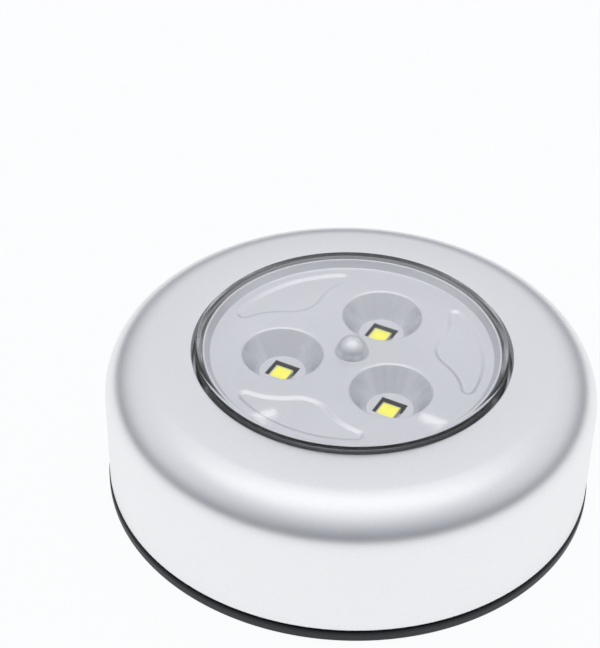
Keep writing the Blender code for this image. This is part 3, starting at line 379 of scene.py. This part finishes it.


# %% [markdown]
# ## Dark plastic
# The base is near-black moulded plastic. The shell's inside and the walls of the lamp windows get
# the same near-black as painted shade. The plastic has a very fine grain from the mould, which
# spreads its gloss. A noise of a tenth of a millimetre makes that grain, and a slower one varies
# the gloss.

# %% Moulded plastic
def moulded_plastic(name, colour, roughness, grain_size=0.00015, depth=0.12):
    material, tree, output = new_material(name)
    plastic = plain_shader(tree, colour, roughness)
    place = tree.nodes.new("ShaderNodeTexCoord")
    grain = tree.nodes.new("ShaderNodeTexNoise")
    grain.inputs["Scale"].default_value = 1 / grain_size
    grain.inputs["Detail"].default_value = 2
    cloud = tree.nodes.new("ShaderNodeTexNoise")
    cloud.inputs["Scale"].default_value = 120
    gloss = tree.nodes.new("ShaderNodeMapRange")
    gloss.inputs["To Min"].default_value = roughness - 0.05
    gloss.inputs["To Max"].default_value = roughness + 0.05
    tint = tree.nodes.new("ShaderNodeMix")
    tint.data_type = "RGBA"
    tint.inputs["A"].default_value = (*(0.9 * c for c in colour), 1)
    tint.inputs["B"].default_value = (*(min(1, 1.1 * c) for c in colour), 1)
    lift = tree.nodes.new("ShaderNodeBump")
    lift.inputs["Strength"].default_value = depth
    lift.inputs["Distance"].default_value = 0.00005
    link = tree.links.new
    link(place.outputs["Object"], grain.inputs["Vector"])
    link(place.outputs["Object"], cloud.inputs["Vector"])
    link(cloud.outputs["Fac"], gloss.inputs["Value"])
    link(gloss.outputs["Result"], plastic.inputs["Roughness"])
    link(cloud.outputs["Fac"], tint.inputs["Factor"])
    link(tint.outputs["Result"], plastic.inputs["Base Color"])
    link(grain.outputs["Fac"], lift.inputs["Height"])
    link(lift.outputs["Normal"], plastic.inputs["Normal"])
    link(plastic.outputs[0], output.inputs["Surface"])
    return material


# %% [markdown]
# ## The shell
# The shell is a ring with a flat top, a round shoulder and a straight wall. A collar hangs inside
# it and guides the lens. Its outline starts at the foot of the wall, goes up over the shoulder and
# the top, down through the opening and back along the inside. The spray covers the outside. It
# lies thinner and duller on the opening's own wall. The inside is coloured near-black as painted
# shade, which draws the thin dark ring of shade round the lens. So each face gets one of three
# finishes by where it is.

# %% Sizes of the shell
shell_low, shell_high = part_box("housing")
shell_radius = shell_high.x
shell_foot = shell_low.z
shell_top = shell_high.z
wall = 0.0018
top_edge = 0.02745
top_fall = 0.0004
shoulder_drop = 0.0064
shoulder_foot = shell_top - shoulder_drop
opening = 0.022005
opening_edge = 0.00015
corner = 0.0004
collar = 0.024905
collar_wall = 0.0011
collar_drop = 0.0059
collar_foot = shell_top - collar_drop
print("shell, mm across:", round(2000 * shell_radius, 1))

# %% Outline of the shell
def shell_outline():
    """From the foot of the wall over the top and back along the inside."""
    shoulder_wide = shell_radius - top_edge
    shoulder_high = shell_top - top_fall - shoulder_foot
    under = shell_top - wall
    outline = arc((shell_radius - corner, shell_foot + corner), corner, -90, 0, 5)
    outline += ellipse_arc((top_edge, shoulder_foot), shoulder_wide, shoulder_high, 0, 90, 32)
    outline += arc((opening + opening_edge, shell_top - opening_edge), opening_edge, 90, 180, 5)
    outline += [(opening, under), (collar, under), (collar, collar_foot)]
    outline += [(collar + collar_wall, collar_foot), (collar + collar_wall, under - top_fall)]
    outline += ellipse_arc((top_edge, shoulder_foot), shoulder_wide - wall, shoulder_high - wall,
                           90, 0, 16)
    return outline + [(shell_radius - wall, shell_foot)]


# %% Where the paint lies
def is_at_bore(spot):
    """True as far in as the opening's wall."""
    return math.hypot(spot.x, spot.y) < opening + opening_edge / 4


def is_in_opening(spot):
    """True on the opening's own wall, below its round edge."""
    return is_at_bore(spot) and shell_top - wall < spot.z < shell_top - opening_edge


def is_painted_shade_inside(spot):
    """True on the shell's inside, which is coloured near-black as painted shade."""
    radius = math.hypot(spot.x, spot.y)
    outside = shell_top
    if radius > top_edge:
        share = (radius - top_edge) / (shell_radius - top_edge)
        outside = shoulder_foot + shoulder_drop * math.sqrt(max(0, 1 - share ** 2))
    return not is_at_bore(spot) and radius < shell_radius - wall / 2 and spot.z < outside - wall / 2


# %% Turn the shell
def make_shell():
    shell = turned("shell", shell_outline(), fine_steps)
    paints = shell.data.materials
    paints.append(silver_paint("shell_silver", (0.915, 0.92, 0.935), 0.34))
    # The inside's near-black is painted shade, standing for the dark gap round the lens.
    paints.append(moulded_plastic("painted_shade_plastic", (0.011, 0.013, 0.022), 0.35))
    paints.append(silver_paint("opening_silver", (0.90, 0.905, 0.92), 0.50, metal=0.25))
    for face in shell.data.polygons:
        if is_in_opening(face.center):
            face.material_index = 2
        elif is_painted_shade_inside(face.center):
            face.material_index = 1
    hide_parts("housing")
    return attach(shell, "body")


shell = make_shell()
print("shell faces:", len(shell.data.polygons))

# %% [markdown]
# ## The base plate
# The base closes the shell from below and carries the pad in a round seat. Only its rim shows
# when the light stands. It is turned like the shell. Its three lugs, which lock it to the shell,
# are short stretches of a ring: one hooked section, repeated over a few degrees and joined up.

# %% Sizes of the base
base_low, base_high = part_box("base_plate")
base_radius = base_high.x
base_foot = base_low.z
rim_height = 0.0013
base_edge = 0.0002
ring_gap = 0.0003
ring_radius = shell_radius - wall - ring_gap
ring_wall = 0.0011
ring_rise = 0.0010
pad_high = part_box("adhesive_pad")[1]
pad_radius = pad_high.x
seat_gap = 0.0003
seat_height = pad_high.z + seat_gap
floor_thick = 0.0008
floor_top = seat_height + floor_thick
ring_top = floor_top + ring_rise
lug_thick = 0.0011
lug_top = base_high.z
lug_foot = lug_top - lug_thick
lug_reach = 0.0015
post_thick = 0.0014
post_outer = ring_radius - lug_reach
post_inner = post_outer - post_thick
lug_angles = [8, 128, 248]
lug_half = 8

# %% Outline of the base
def base_outline():
    """From the middle of the pad's seat round the rim and the ring, back to the middle."""
    seat = pad_radius + seat_gap
    rim_high = base_foot + rim_height
    edge = base_radius - base_edge
    outline = [(0, seat_height), (seat, seat_height)]
    outline += arc((seat + base_edge, base_foot + base_edge), base_edge, 180, 270, 4)
    outline += arc((edge, base_foot + base_edge), base_edge, -90, 0, 5)
    outline += arc((edge, rim_high - base_edge), base_edge, 0, 90, 4)
    inner = ring_radius - ring_wall
    outline += [(ring_radius, rim_high), (ring_radius, ring_top)]
    return outline + [(inner, ring_top), (inner, floor_top), (0, floor_top)]


# %% Turn the base
def ring_stretch(bm, section, start, end, steps):
    """Add a stretch of a turned ring to a bmesh, closed at both ends."""
    slices = []
    for i in range(steps + 1):
        angle = math.radians(start + (end - start) * i / steps)
        x, y = math.cos(angle), math.sin(angle)
        slices.append([bm.verts.new((r * x, r * y, z)) for r, z in section])
    skin_rings(bm, slices)


def make_base():
    base = turned("base", base_outline(), fine_steps)
    bm = bmesh.new()
    bm.from_mesh(base.data)
    lug = [(post_inner, floor_top), (post_outer, floor_top), (post_outer, lug_foot),
           (ring_radius, lug_foot), (ring_radius, lug_top), (post_inner, lug_top)]
    for angle in lug_angles:
        ring_stretch(bm, lug, angle - lug_half, angle + lug_half, 12)
    bmesh.ops.recalc_face_normals(bm, faces=bm.faces)
    bm.to_mesh(base.data)
    bm.free()
    base.data.set_sharp_from_angle(angle=crease)
    base.data.materials.append(moulded_plastic("base_black", (0.013, 0.016, 0.021), 0.5))
    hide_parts("base_plate")
    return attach(base, "base")


base = make_base()
print("base, mm across:", round(2000 * base_radius, 1))

# %% [markdown]
# ## Clear lens
# The lens is clear plastic, thick enough to bend what is seen through it: the lines along its edge
# are the inner wall and the gap round it, bent by the plastic. So it is made as a real solid, with
# its dome, its skirt and the flange that holds it in the shell. Rays that only ask how much light
# arrives pass it as if it were open, or the reflector under it would stay dark.

# %% Clear plastic
def clear_plastic(name):
    material, tree, output = new_material(name)
    clear = plain_shader(tree, (1.0, 1.0, 1.0), 0.05)
    clear.inputs["Transmission Weight"].default_value = 1.0
    clear.inputs["IOR"].default_value = 1.49
    open_way = tree.nodes.new("ShaderNodeBsdfTransparent")
    open_way.inputs["Color"].default_value = (0.96, 0.965, 0.975, 1)
    rays = tree.nodes.new("ShaderNodeLightPath")
    blend = tree.nodes.new("ShaderNodeMixShader")
    place = tree.nodes.new("ShaderNodeTexCoord")
    waves = tree.nodes.new("ShaderNodeTexNoise")
    waves.inputs["Scale"].default_value = 160
    waves.inputs["Detail"].default_value = 1
    lift = tree.nodes.new("ShaderNodeBump")
    lift.inputs["Strength"].default_value = 0.01
    lift.inputs["Distance"].default_value = 0.0001
    link = tree.links.new
    link(place.outputs["Object"], waves.inputs["Vector"])
    link(waves.outputs["Fac"], lift.inputs["Height"])
    link(lift.outputs["Normal"], clear.inputs["Normal"])
    link(rays.outputs["Is Shadow Ray"], blend.inputs["Fac"])
    link(clear.outputs[0], blend.inputs[1])
    link(open_way.outputs[0], blend.inputs[2])
    link(blend.outputs[0], output.inputs["Surface"])
    return material


# %% Sizes of the lens
lens_low, lens_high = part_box("lens")
flange_radius = lens_high.x
lens_foot = lens_low.z
lens_crown = lens_high.z
lens_gap = 0.0005
lens_radius = opening - lens_gap
lens_wall = 0.0008
lens_thick = 0.0012
lens_edge = 0.00045
dome_rise = 0.0019
flange_thick = 0.0013
flange_top = lens_foot + flange_thick
lens_bore = lens_radius - lens_wall
edge_r = lens_radius - lens_edge
edge_z = lens_crown - dome_rise - lens_edge
edge_rise = lens_crown - edge_z
dome = (edge_r ** 2 + edge_rise ** 2 - lens_edge ** 2) / (2 * (edge_rise - lens_edge))
dome_heart = lens_crown - dome
under_dome = dome - lens_thick

# %% Turn the lens
def make_lens():
    slope = math.degrees(math.asin(edge_r / (dome - lens_edge)))
    heart = (0, dome_heart)
    inner_slope = math.degrees(math.asin(lens_bore / under_dome))
    outline = [(lens_bore, lens_foot), (flange_radius, lens_foot)]
    outline += [(flange_radius, flange_top), (lens_radius, flange_top)]
    outline += arc((edge_r, edge_z), lens_edge, 0, 90 - slope, 10)
    outline += arc(heart, dome, 90 - slope, 90, 32)[1:-1]
    outline += [(0, lens_crown), (0, lens_crown - lens_thick)]
    outline += arc(heart, under_dome, 90, 90 - inner_slope, 32)[1:]
    lens = turned("lens_dome", outline, fine_steps)
    lens.data.materials.append(clear_plastic("clear_plastic"))
    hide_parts("lens")
    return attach(lens, "lens_module")


lens = make_lens()
print("lens, mm across:", round(2000 * lens_radius, 1))

# %% [markdown]
# ## The reflector
# Under the lens lies a silver plate with a bowl for each lamp, three shallow blade-shaped pockets
# and a round bump in the middle. A thin rim rises round it, just inside the lens. All its edges
# are softly rolled, and those rolls catch the light as thin bright lines. The plate, its rim and
# the bump are turned first. Then each hollow is cut by a shape that already flares at the top like
# the rolled edge, so that the cut leaves the roll behind.

# %% Sizes of the reflector
plate_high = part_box("reflector")[1]
bump_radius = 0.00227
bump_height = 0.0024
bump_foot = 0.00018
plate_top = plate_high.z - bump_height
plate_thick = 0.0012
plate_gap = 0.0003
plate_radius = lens_bore - plate_gap
rim_wall = 0.0003
rim_lean = 0.0007
rim_round = 0.00014
rim_top = dome_heart + math.sqrt(under_dome ** 2 - plate_radius ** 2) - plate_gap
skirt_wall = 0.0011
skirt_flange = 0.0012
skirt_foot = lens_foot - plate_gap - skirt_flange
lamp_angles = [62.5, 182.5, 302.5]
lamp_circle = 0.00947
bowl_radius = 0.00585
bowl_floor_radius = 0.0032
bowl_depth = 0.0031
bowl_lip = 0.0005
bowl_lip_turn = 56
bowl_wall = 0.0007
bowl_base = 0.0008
window_long, window_short = 0.0038, 0.0033
window_cut = 0.003
window_turn = lamp_angles[0] - 90
over = 0.0004
print("reflector, mm across:", round(2000 * plate_radius, 1))

# %% Cutting helpers
def cut_away(body, tools):
    """Cut the tools from the body and remove them."""
    for tool in tools:
        step = body.modifiers.new("cut", "BOOLEAN")
        step.operation = "DIFFERENCE"
        step.solver = "EXACT"
        step.object = tool
    settle(body, tools)


def join_on(body, tools):
    """Join the tools to the body and remove them."""
    for tool in tools:
        step = body.modifiers.new("join", "BOOLEAN")
        step.operation = "UNION"
        step.solver = "EXACT"
        step.object = tool
    settle(body, tools)


def settle(body, tools):
    """Keep what the modifiers made and remove the tools."""
    bpy.context.view_layer.update()
    worked = body.evaluated_get(bpy.context.evaluated_depsgraph_get())
    mesh = bpy.data.meshes.new_from_object(worked)
    body.modifiers.clear()
    body.data = mesh
    mesh.shade_smooth()
    mesh.set_sharp_from_angle(angle=crease)
    for tool in tools:
        bpy.data.objects.remove(tool)


def polar(radius, degrees):
    """The point at a radius and an angle from +X."""
    angle = math.radians(degrees)
    return (radius * math.cos(angle), radius * math.sin(angle))


def turn_mesh(bm, degrees):
    """Turn a bmesh about the light's axis."""
    bmesh.ops.rotate(bm, verts=bm.verts, matrix=Matrix.Rotation(math.radians(degrees), 3, "Z"))


# %% Cut tool for a bowl
def bowl_tool(angle):
    lip = [(bowl_radius - bowl_lip * math.sin(math.radians(t)),
            plate_top - bowl_lip * (1 - math.cos(math.radians(t))))
           for t in [bowl_lip_turn * i / 10 for i in range(11)]]
    floor = plate_top - bowl_depth
    outline = [(0, plate_top + over), (bowl_radius, plate_top + over)] + lip
    outline += [(bowl_floor_radius, floor), (0, floor)]
    return turned("bowl_tool", outline, small_steps, polar(lamp_circle, angle))


# %% Cut tool for a lamp window
def window_tool(angle):
    bm = bmesh.new()
    bmesh.ops.create_cube(bm, size=1)
    floor = plate_top - bowl_depth
    x, y = polar(lamp_circle, angle)
    bmesh.ops.scale(bm, vec=(window_long, window_short, window_cut), verts=bm.verts)
    turn_mesh(bm, window_turn)
    bmesh.ops.translate(bm, vec=(x, y, floor), verts=bm.verts)
    return finish_mesh("window_tool", bm)


# %% [markdown]
# A blade-shaped pocket is drawn with four kinds of arc that run into each other: the long outer
# curve, a small round at each tip, two hollow sides that keep clear of the bowls, and the nose
# between them. Making every arc a little larger or smaller gives the same blade, grown or shrunk.
# A stack of such outlines, from wide at the top to narrow at the bottom, rolls both edges.

# %% Outline of a blade
blade_margin = 0.0025
blade_outer = plate_radius - blade_margin
blade_tip = 0.0008
blade_nose = 0.0044
blade_half = 28.6
blade_depth = 0.00027
blade_angles = [2.5, 122.5, 242.5]


def blade_outline(grow):
    """Points of the blade's edge, centred on +X and grown by a distance."""
    bowl_x, bowl_y = polar(lamp_circle, lamp_angles[0] - blade_angles[0])
    tip = polar(blade_outer - blade_tip, blade_half)
    keep = math.hypot(bowl_x - tip[0], bowl_y - tip[1]) - blade_tip
    nose_x = bowl_x + math.sqrt((keep + blade_nose) ** 2 - bowl_y ** 2)
    to_bowl = math.degrees(math.atan2(bowl_y - tip[1], bowl_x - tip[0])) % 360
    to_nose = math.degrees(math.atan2(-bowl_y, nose_x - bowl_x))
    outer = arc((0, 0), blade_outer + grow, -blade_half, blade_half, 32)
    round_tip = arc(tip, blade_tip + grow, blade_half, to_bowl, 10)
    side = arc((bowl_x, bowl_y), keep - grow, to_bowl - 180, to_nose, 14)
    nose = arc((nose_x, 0), blade_nose + grow, to_nose + 180, 180 - to_nose, 14)
    other = [(x, -y) for x, y in reversed(round_tip[1:] + side[1:])]
    return outer + round_tip[1:] + side[1:] + nose[1:-1] + other[:-1]


# %% Cut tool for a blade
blade_slope = 0.0008


def blade_tool(angle):
    levels = [(blade_slope / 2, plate_top + over)]
    for i in range(13):
        way = i / 12
        sunk = blade_depth * (1 - math.cos(math.pi * way)) / 2
        levels.append((blade_slope * (0.5 - way), plate_top - sunk))
    bm = bmesh.new()
    rings = []
    for grow, height in levels:
        rings.append([bm.verts.new((x, y, height)) for x, y in blade_outline(grow)])
    skin_rings(bm, rings)
    turn_mesh(bm, angle)
    return finish_mesh("blade_tool", bm)


# %% [markdown]
# The bowls show faint streaks that run down their walls, as metal that was spun or drawn does. A
# line pattern needs to know how far round its bowl a point is, so that number is stored at each
# corner of the wall's faces, and the material reads it as an attribute. Each bowl counts on from
# a number of its own, so that no two have the same streaks.

# %% Where the reflector is painted dark as shade
hair = 0.00002


# The walls of each lamp window are coloured near-black: painted shade in the gap round the lamp.
def is_in_window(spot):
    """True on the walls of a lamp window, below the floor of its bowl."""
    if spot.z > plate_top - bowl_depth - hair:
        return False
    reach = math.hypot(window_long, window_short) / 2
    return any(math.dist((spot.x, spot.y), polar(lamp_circle, a)) < reach for a in lamp_angles)


# %% Finish of the bowls
streak_shift = 5


def bowl_silver():
    """The plate's paint with faint streaks down the bowl, placed by how far round it a point is."""
    material = silver_paint("bowl_silver", (0.76, 0.765, 0.80), 0.27)
    tree = material.node_tree
    paint = shader_of(material)
    flat = paint.inputs["Base Color"].links[0].from_socket
    around = tree.nodes.new("ShaderNodeAttribute")
    around.attribute_name = "around"
    lines = tree.nodes.new("ShaderNodeTexNoise")
    lines.noise_dimensions = "1D"
    lines.inputs["Scale"].default_value = 4
    lines.inputs["Detail"].default_value = 3
    shade = tree.nodes.new("ShaderNodeMapRange")
    shade.inputs["From Min"].default_value = 0.3
    shade.inputs["From Max"].default_value = 0.7
    shade.inputs["To Min"].default_value = 0.97
    shade.inputs["To Max"].default_value = 1.03
    streaked = tree.nodes.new("ShaderNodeVectorMath")
    streaked.operation = "SCALE"
    link = tree.links.new
    link(around.outputs["Fac"], lines.inputs["W"])
    link(lines.outputs["Fac"], shade.inputs["Value"])
    link(flat, streaked.inputs["Vector"])
    link(shade.outputs["Result"], streaked.inputs["Scale"])
    link(streaked.outputs["Vector"], paint.inputs["Base Color"])
    return material


def bowl_of(face):
    """The number of the bowl whose wall a face is part of, or None."""
    upright = 0.1 < face.normal.z < 0.95
    if not upright or not plate_top - bowl_depth < face.center.z < plate_top - bowl_lip / 3:
        return None
    for number, angle in enumerate(lamp_angles):
        if math.dist((face.center.x, face.center.y), polar(lamp_circle, angle)) < bowl_radius:
            return number
    return None


def finish_bowls(plate, slot):
    """Give the bowl walls their own finish, and note how far round its bowl each corner is."""
    mesh = plate.data
    around = mesh.attributes.new("around", "FLOAT", "CORNER")
    walls = 0
    for face in mesh.polygons:
        number = bowl_of(face)
        if number is None:
            continue
        face.material_index = slot
        walls += 1
        x, y = polar(lamp_circle, lamp_angles[number])
        for loop in face.loop_indices:
            spot = mesh.vertices[mesh.loops[loop].vertex_index].co
            turned_by = abs(math.atan2(spot.x - x, spot.y - y))
            around.data[loop].value = streak_shift * number + turned_by
    print("faces of the bowl walls:", walls)


# %% Outline of the reflector
def rim_outline():
    """The raised rim, from its outer top corner over to its foot on the plate."""
    lean = math.degrees(math.atan2(rim_lean, rim_top - plate_top))
    inner = plate_radius - rim_wall
    foot = inner - rim_lean
    outline = arc((plate_radius - rim_round, rim_top - rim_round), rim_round, 0, 90, 4)
    outline += arc((inner + rim_round / 2, rim_top - rim_round), rim_round, 90, 180 - lean, 4)[1:]
    hollow = 2 * rim_round
    return outline + arc((foot - rim_round, plate_top + hollow), hollow, -lean, -90, 6)


def plate_outline():
    """From the middle of the underside round the skirt, the rim and the bump."""
    inner = plate_radius - skirt_wall
    under = plate_top - plate_thick
    ledge = skirt_foot + skirt_flange
    outline = [(0, under), (inner, under), (inner, skirt_foot), (flange_radius, skirt_foot)]
    outline += [(flange_radius, ledge), (plate_radius, ledge)]
    outline += rim_outline()
    outline += arc((bump_radius + bump_foot, plate_top + bump_foot), bump_foot, 270, 190, 6)
    return outline + ellipse_arc((0, plate_top), bump_radius, bump_height, 5, 90, 24)


def bowl_back(angle):
    """The outside of a bowl, which hangs from the plate."""
    floor = plate_top - bowl_depth - bowl_base
    brim = plate_top - plate_thick + over
    outline = [(0, floor), (bowl_floor_radius + bowl_wall, floor)]
    outline += [(bowl_radius + bowl_wall, brim), (0, brim)]
    return turned("bowl_back", outline, small_steps, polar(lamp_circle, angle))


# %% Turn and cut the reflector
def make_reflector():
    plate = turned("reflector_plate", plate_outline(), fine_steps)
    join_on(plate, [bowl_back(a) for a in lamp_angles])
    tools = [bowl_tool(a) for a in lamp_angles] + [window_tool(a) for a in lamp_angles]
    cut_away(plate, tools + [blade_tool(a) for a in blade_angles])
    plate.data.materials.clear()
    plate.data.materials.append(silver_paint("reflector_silver", (0.79, 0.795, 0.825), 0.30))
    # The window walls take the near-black plastic as painted shade.
    plate.data.materials.append(bpy.data.materials["painted_shade_plastic"])
    plate.data.materials.append(bowl_silver())
    for face in plate.data.polygons:
        if is_in_window(face.center):
            face.material_index = 1
    finish_bowls(plate, 2)
    even = plate.modifiers.new("even_shading", "WEIGHTED_NORMAL")
    even.keep_sharp = True
    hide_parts("reflector")
    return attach(plate, "lens_module")


reflector = make_reflector()
print("reflector faces:", len(reflector.data.polygons))

# %% [markdown]
# ## The lamps
# Each lamp is a small moulded package, cream white, with a shallow pool of yellow phosphor that
# nearly fills its top. Phosphor turns the blue of daylight into yellow, so it looks brighter than
# paint of the same colour; a little light of its own stands for that. The lamp sits at one end of
# its window. At the other end the black board shows, with the tinned tab that feeds the lamp.

# %% Lamp finishes
def phosphor():
    material, tree, output = new_material("phosphor")
    pool = plain_shader(tree, (0.97, 0.94, 0.10), 0.35)
    pool.inputs["Emission Color"].default_value = (1.0, 0.97, 0.10, 1)
    pool.inputs["Emission Strength"].default_value = 0.42
    place = tree.nodes.new("ShaderNodeTexCoord")
    specks = tree.nodes.new("ShaderNodeTexNoise")
    specks.inputs["Scale"].default_value = 5000
    tint = tree.nodes.new("ShaderNodeMix")
    tint.data_type = "RGBA"
    tint.inputs["A"].default_value = (0.97, 0.92, 0.06, 1)
    tint.inputs["B"].default_value = (0.98, 0.96, 0.16, 1)
    link = tree.links.new
    link(place.outputs["Object"], specks.inputs["Vector"])
    link(specks.outputs["Fac"], tint.inputs["Factor"])
    link(tint.outputs["Result"], pool.inputs["Base Color"])
    link(pool.outputs[0], output.inputs["Surface"])
    return material


def worn_metal(name, colour, roughness):
    """Bare metal whose gloss and shade vary a little from place to place."""
    material = moulded_plastic(name, colour, roughness, 0.0001, 0.08)
    shader_of(material).inputs["Metallic"].default_value = 1.0
    return material


# %% Sizes of a lamp
lamp_long, lamp_short = 0.0027, 0.0028
lamp_shift = -0.0003
pool_margin = 0.00016
pool_sunk = 0.00005
package_round = 0.00006
tab_long, tab_short, tab_high = 0.0004, 0.0016, 0.00012
tab_round = 0.00002


# %% Build a lamp
def add_box(bm, middle, size, rounding):
    """Add a box with softened edges to a bmesh and return its faces and the top one."""
    made = bmesh.ops.create_cube(bm, size=1)["verts"]
    bmesh.ops.scale(bm, vec=size, verts=made)
    bmesh.ops.translate(bm, vec=middle, verts=made)
    edges = list({edge for vert in made for edge in vert.link_edges})
    faces = bmesh.ops.bevel(bm, geom=edges, offset=rounding, segments=2, affect="EDGES")["faces"]
    own = set(faces) | {f for face in faces for v in face.verts for f in v.link_faces}
    return own, max(own, key=lambda face: (round(face.normal.z, 3), face.calc_area()))


def make_lamp(number, finishes):
    node = f"led_{number}"
    low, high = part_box(node)
    centre = ((low.x + high.x) / 2, (low.y + high.y) / 2)
    bm = bmesh.new()
    middle = (lamp_shift, 0, (low.z + high.z) / 2)
    _, top = add_box(bm, middle, (lamp_long, lamp_short, high.z - low.z), package_round)
    bmesh.ops.inset_region(bm, faces=[top], thickness=pool_margin, depth=-pool_sunk)
    top.material_index = 1
    tab_x = lamp_shift + lamp_long / 2 + tab_long / 2
    middle = (tab_x, 0, low.z + tab_high / 2)
    tab, _ = add_box(bm, middle, (tab_long, tab_short, tab_high), tab_round)
    for face in tab:
        face.material_index = 2
    turn_mesh(bm, window_turn)
    lamp = finish_mesh(f"lamp_{number}", bm, centre)
    for finish in finishes:
        lamp.data.materials.append(finish)
    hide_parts(node)
    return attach(lamp, "lens_module")


lamp_finishes = [moulded_plastic("lamp_package", (0.88, 0.86, 0.72), 0.4, 0.0001, 0.05),
                 phosphor(), worn_metal("tinned_tab", (0.72, 0.72, 0.70), 0.35)]
lamps = [make_lamp(number, lamp_finishes) for number in (1, 2, 3)]
print("lamps made:", len(lamps))

# %% [markdown]
# ## The pad
# A disc of pale foam with glue on both faces sticks the light up. It is a turned disc with softly
# rounded edges, and a coarse, deep grain stands for the cells of the foam.

# %% Foam
round_edge = 0.00012


def make_pad():
    outline = [(0, 0)]
    outline += arc((pad_radius - round_edge, round_edge), round_edge, -90, 0, 4)
    outline += arc((pad_radius - round_edge, pad_high.z - round_edge), round_edge, 0, 90, 4)
    outline += [(0, pad_high.z)]
    pad = turned("pad", outline)
    pad.data.materials.append(moulded_plastic("pad_foam", (0.78, 0.78, 0.76), 0.85, 0.0002, 0.5))
    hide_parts("adhesive_pad")
    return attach(pad, "base")


pad = make_pad()
print("pad, mm across:", round(2000 * pad_radius, 1))

# %% [markdown]
# ## The pieces inside
# The cells, contacts, switch and wires keep their solids. Each gets the finish of what it is, by
# the start of its name. A cell wears a coloured sleeve, and its steel can shows at both ends: one
# material does both, by how far along the cell a point is.

# %% Bare ends of the cells
def bare_ends(material, sleeve_end):
    """Let the steel can show beyond a distance from the middle, where the sleeve ends."""
    tree = material.node_tree
    shader = shader_of(material)
    sleeve = shader.inputs["Base Color"].links[0].from_socket
    place = tree.nodes.new("ShaderNodeTexCoord")
    split = tree.nodes.new("ShaderNodeSeparateXYZ")
    reach = tree.nodes.new("ShaderNodeMath")
    reach.operation = "ABSOLUTE"
    beyond = tree.nodes.new("ShaderNodeMath")
    beyond.operation = "GREATER_THAN"
    beyond.inputs[1].default_value = sleeve_end
    skin = tree.nodes.new("ShaderNodeMix")
    skin.data_type = "RGBA"
    skin.inputs["B"].default_value = (0.62, 0.61, 0.58, 1)
    link = tree.links.new
    link(place.outputs["Object"], split.inputs["Vector"])
    link(split.outputs["X"], reach.inputs[0])
    link(reach.outputs[0], beyond.inputs[0])
    link(beyond.outputs[0], skin.inputs["Factor"])
    link(sleeve, skin.inputs["A"])
    link(skin.outputs["Result"], shader.inputs["Base Color"])
    link(beyond.outputs[0], shader.inputs["Metallic"])


# %% Finishes for the pieces inside
sleeve_margin = 0.0004
inner_finishes = {
    "battery_tray": ((0.045, 0.047, 0.050), 0.5, 0.0),
    "cell": ((0.05, 0.15, 0.36), 0.32, 0.0),
    "contact": ((0.62, 0.60, 0.55), 0.3, 1.0),
    "tray_screw": ((0.45, 0.45, 0.46), 0.35, 1.0),
    "switch_body": ((0.03, 0.03, 0.032), 0.4, 0.0),
    "switch_spring": ((0.62, 0.62, 0.62), 0.28, 1.0),
    "switch_pin": ((0.70, 0.66, 0.55), 0.3, 1.0),
    "switch_plunger": ((0.85, 0.85, 0.83), 0.4, 0.0),
    "lead_positive": ((0.62, 0.03, 0.02), 0.45, 0.0),
    "lead_switched": ((0.62, 0.03, 0.02), 0.45, 0.0),
    "lead_negative": ((0.02, 0.02, 0.02), 0.45, 0.0),
    "led_board": ((0.012, 0.014, 0.016), 0.4, 0.0),
    "resistor": ((0.03, 0.03, 0.03), 0.3, 0.0),
}
for start, (colour, roughness, metallic) in inner_finishes.items():
    finish = moulded_plastic(f"{start}_finish", colour, roughness)
    shader_of(finish).inputs["Metallic"].default_value = metallic
    if start == "cell":
        tail = min(abs(end.x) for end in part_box("cell_1"))
        bare_ends(finish, tail - sleeve_margin)
    for name, node in nodes.items():
        if name.startswith(start):
            node.data.materials.clear()
            node.data.materials.append(finish)
print("finishes inside:", len(inner_finishes))

# %% [markdown]
# Three of these pieces change shape when the lens is pressed: the switch's spring gets shorter, and
# the two wires to the board bend, because their upper ends go down with it. A solid of the frame
# never changes, so each of the three is copied, and the copy stands for it. The spring's copy hangs
# on the body, and each wire's copy has its place baked into its mesh. None of the copies changes
# shape here.

# %% Copies of the pieces that give way
copy_crease = math.radians(50)


def giving_copy(node_name):
    """A copy of a solid and its finish, which stands for it."""
    node = nodes[node_name]
    mesh = node.data.copy()
    mesh.shade_smooth()
    mesh.set_sharp_from_angle(angle=copy_crease)
    piece = bpy.data.objects.new(f"{node_name}_flexible", mesh)
    scene.collection.objects.link(piece)
    piece.matrix_world = node.matrix_world.copy()
    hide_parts(node_name)
    return piece


def make_giving_pieces():
    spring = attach(giving_copy("switch_spring"), "body")
    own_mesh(spring)
    for name, slot in (("lead_switched", "red_insulation"), ("lead_negative", "black_insulation")):
        wire = giving_copy(name)
        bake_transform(wire)


make_giving_pieces()
